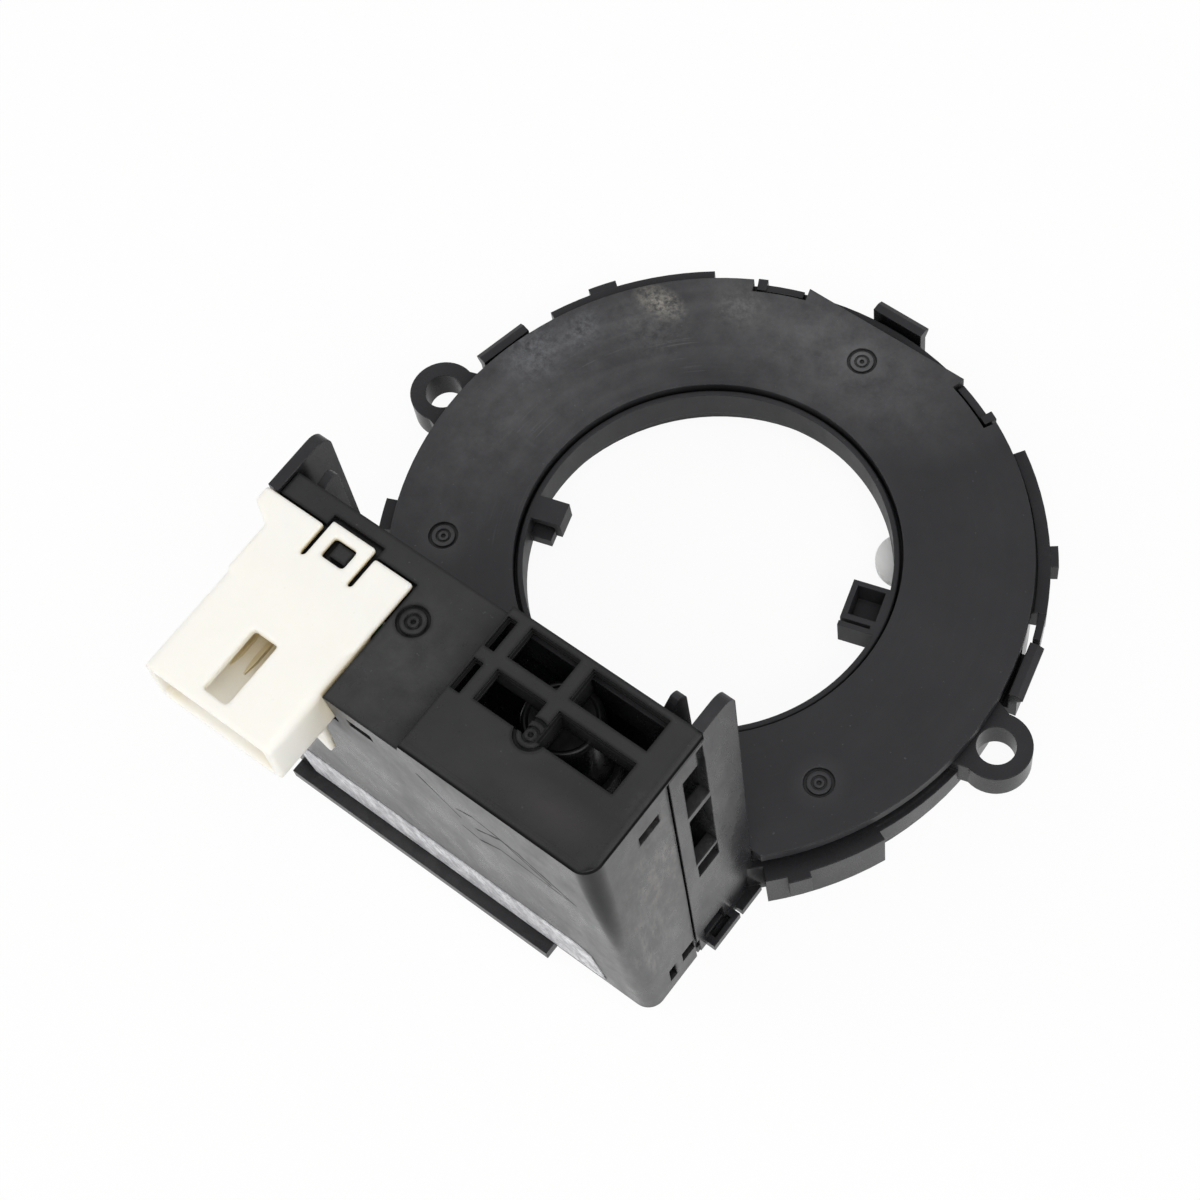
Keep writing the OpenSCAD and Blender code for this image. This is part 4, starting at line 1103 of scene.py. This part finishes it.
@dataclass
class Can(SubAssembly):
    """The capacitor below the grid: a sleeved can with a rolled rim, a groove and two bent legs.

    The stretches of its outline are points by their depth under the can's skin and their height over the
    floor, the groove or the top.
    """

    centre: Pair = (16.2, -43.9)
    shelf: float = 46.0
    height: float = 15.0
    radius: float = 5.0
    groove_at: float = 2.0
    floor_edge: tuple[Pair, ...] = ((0.8, 0.0), (0.3, 0.12), (0.0, 0.5))
    groove: tuple[Pair, ...] = ((0.0, -0.6), (0.12, -0.35), (0.4, 0.0), (0.12, 0.35), (0.0, 0.6))
    rolled_rim: tuple[Pair, ...] = (
        (0.0, -0.9), (0.08, -0.5), (0.3, -0.16), (0.6, 0.0), (0.85, -0.05), (1.05, -0.3))
    sides: int = 72
    leg_radius: float = 0.35
    leg_sides: int = 12
    leg_gap: float = 2.5
    leg_sink: float = 0.1
    leg_end: Pair = (-46.6, 38.5)
    leg_bend: float = 1.2
    bend_steps: int = 4
    sharp_from: float = 50.0

    def profile(self) -> list[Pair]:
        """Lists the half outline.

        Returns:
            Its points, by radius and height over the shelf.
        """
        stretches = ((0.0, self.floor_edge), (self.groove_at, self.groove), (self.height, self.rolled_rim))
        return [(self.radius - depth, base + up) for base, points in stretches for depth, up in points]

    def body(self, work: bmesh.types.BMesh) -> None:
        """Adds the turned body.

        Args:
            work: What it is added to.
        """
        x, y = self.centre
        skin(work, [
            [work.verts.new((x + radius * math.cos(turn), y + radius * math.sin(turn), self.shelf + up))
             for turn in turns(self.sides)]
            for radius, up in self.profile()
        ])

    def leg(self, work: bmesh.types.BMesh, x: float) -> None:
        """Adds one leg that bends from the can's floor to the board.

        Args:
            work: What it is added to.
            x: Where the leg leaves the can.
        """
        middle, bend = self.centre[1], self.leg_bend
        end_y, end_z = self.leg_end
        steps = [math.radians(90.0 * (i + 1) / self.bend_steps) for i in range(self.bend_steps)]
        path = [(middle, self.shelf + self.leg_sink), (middle, end_z + bend)]
        for step in steps:
            path.append((middle - bend * (1 - math.cos(step)), end_z + bend * (1 - math.sin(step))))
        path.append((end_y, end_z))
        rings = []
        for i, (y, z) in enumerate(path):
            before, after = path[max(i - 1, 0)], path[min(i + 1, len(path) - 1)]
            along = Vector((0.0, after[0] - before[0], after[1] - before[1])).normalized()
            across = Vector((0.0, -along.z, along.y))
            rings.append([
                work.verts.new(Vector((x, y, z)) + self.leg_radius * (
                    math.cos(turn) * Vector((1.0, 0.0, 0.0)) + math.sin(turn) * across))
                for turn in turns(self.leg_sides)
            ])
        skin(work, rings)

    def build(self) -> bpy.types.Mesh:
        """Builds the can with its legs.

        Returns:
            The mesh, in place.
        """
        work = bmesh.new()
        self.body(work)
        for side in (-1, 1):
            self.leg(work, self.centre[0] + side * self.leg_gap)
        mesh = solid(work, "can_mesh")
        mesh.shade_smooth()
        mesh.set_sharp_from_angle(angle=math.radians(self.sharp_from))
        return mesh

    def dress(self) -> None:
        """Puts the can in place, in a dark sleeve."""
        sleeve = Coated("can_dark", (0.004, 0.004, 0.0045), (0.01, 0.01, 0.0105), 350.0, 0.22, gloss=0.12)
        self.stand_in("capacitor_can", self.build(), "capacitor", "can_metal", sleeve.make())


@dataclass
class Boards(SubAssembly):
    """The two circuit boards with their chips and small parts."""

    chip_mottle: float = 900.0

    def dress(self) -> None:
        """Dresses the boards and what is on them."""
        self.wear(SolderMask("board_green").make(), "ring_board", "main_board")
        black = Coated("chip_black", (0.02, 0.02, 0.021), (0.035, 0.035, 0.036), self.chip_mottle, 0.5)
        self.wear(black.make(), "sensor_chips", "controller_chip", "transceiver_chip", "regulator_chip",
                  "chip_resistors")
        tan = Coated("ceramic_tan", (0.42, 0.31, 0.2), (0.34, 0.25, 0.16), self.chip_mottle, 0.4)
        self.wear(tan.make(), "chip_capacitors")
        self.wear(Metal("crystal_steel", (0.6, 0.6, 0.62), 0.25).make(), "crystal")


@dataclass(frozen=True)
class Lamp:
    """A round lamp that points at the object, with its place and width in metres."""

    name: str
    place: Triple
    width: float
    power: float
    target: Triple = (0.0, 0.0, 0.03)

    def hang(self) -> None:
        """Puts the lamp in place."""
        data = bpy.data.lights.new(self.name, "AREA")
        data.shape = "DISK"
        data.size = self.width
        data.energy = self.power
        lamp = bpy.data.objects.new(self.name, data)
        lamp.location = self.place
        lamp.rotation_euler = (Vector(self.target) - lamp.location).to_track_quat("-Z", "Y").to_euler()
        bpy.context.scene.collection.objects.link(lamp)


@dataclass
class Studio:
    """Pale floor, soft light and the photograph's camera."""

    eye: Triple = (112.1, -114.8, 330.4)
    axes: tuple[Triple, ...] = ((0.786, 0.61, -0.103), (0.518, -0.74, -0.429), (-0.338, 0.284, -0.897))
    lens: float = 77.2
    sensor: float = 36.0
    nearest: float = 0.01
    horizon: float = 0.85
    zenith: float = 0.25
    sky_fade: Pair = (0.25, 0.85)
    floor_half: float = 3.0
    floor_drop: float = 0.2
    floor_colour: Colour = (0.9, 0.9, 0.9)
    floor_roughness: float = 0.9
    floor_glow: float = 1.0
    glow_share: float = 0.93
    lamps: tuple[Lamp, ...] = field(default_factory=lambda: (
        Lamp("key", (0.45, -0.4, 1.1), 0.9, 8.6), Lamp("left", (-0.9, -0.5, 0.5), 0.7, 2.8),
        Lamp("right", (0.95, 0.3, 0.35), 0.7, 2.0)))

    def build(self) -> None:
        """Makes the floor, the world, the lamps and the camera."""
        self.floor()
        self.world()
        for lamp in self.lamps:
            lamp.hang()
        self.camera()

    def floor(self) -> None:
        """Makes a wide pale floor that shows nearly white to the camera but keeps the shadow."""
        mesh = bpy.data.meshes.new("floor")
        half = self.floor_half
        square = [(-half, -half, 0), (half, -half, 0), (half, half, 0), (-half, half, 0)]
        mesh.from_pydata(square, [], [(0, 1, 2, 3)])
        floor = bpy.data.objects.new("floor", mesh)
        floor.location.z = -self.floor_drop * MM
        bpy.context.scene.collection.objects.link(floor)
        paint = Paint("floor_pale")
        paint.fill(paint.shader, {"Base Color": self.floor_colour, "Roughness": self.floor_roughness})
        mesh.materials.append(paint.material)
        glow = paint.node("ShaderNodeEmission", {"Color": WHITE, "Strength": self.floor_glow})
        both = paint.node("ShaderNodeMixShader", {
            0: paint.times(paint.seen(), self.glow_share), 1: paint.shader.outputs[0], 2: glow.outputs[0]})
        paint.fill(paint.nodes["Material Output"], {"Surface": both.outputs[0]})

    def world(self) -> None:
        """Makes a surround that is bright at the horizon and dim overhead, and white to the camera."""
        world = bpy.data.worlds.new("studio")
        bpy.context.scene.world = world
        tree = Tree(world)
        split = tree.node("ShaderNodeSeparateXYZ", {0: tree.coordinates["Generated"]})
        fade = tree.node("ShaderNodeMapRange", {
            "Value": split.outputs["Z"], "From Min": self.sky_fade[0], "From Max": self.sky_fade[1],
            "To Min": self.horizon, "To Max": self.zenith})
        level = tree.node("ShaderNodeMix", {"Factor": tree.seen(), "A": fade.outputs[0], "B": 1.0})
        tree.fill(tree.nodes["Background"], {"Color": WHITE, "Strength": level.outputs["Result"]})

    def camera(self) -> None:
        """Sets the camera where the photograph was taken from."""
        data = bpy.data.cameras.new("camera")
        data.lens = self.lens
        data.sensor_width = self.sensor
        data.clip_start = self.nearest
        camera = bpy.data.objects.new("camera", data)
        flip = Matrix(((1, 0, 0), (0, -1, 0), (0, 0, -1)))
        turn = (flip @ Matrix(self.axes)).transposed().to_4x4()
        camera.matrix_world = Matrix.Translation(Vector(self.eye) * MM) @ turn
        bpy.context.scene.collection.objects.link(camera)
        bpy.context.scene.camera = camera


def main() -> None:
    """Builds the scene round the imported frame."""
    logging.basicConfig(level=logging.INFO, format="%(message)s")
    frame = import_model()
    bpy.context.scene.view_settings.view_transform = "Standard"
    groups = (Base(frame), Ring(frame), Box(frame), Plug(frame), GearTrain(frame), Can(frame), Boards(frame))
    for group in groups:
        group.dress()
        LOG.info("%s is done", type(group).__name__)
    Studio().build()


if __name__ == "__main__":
    main()
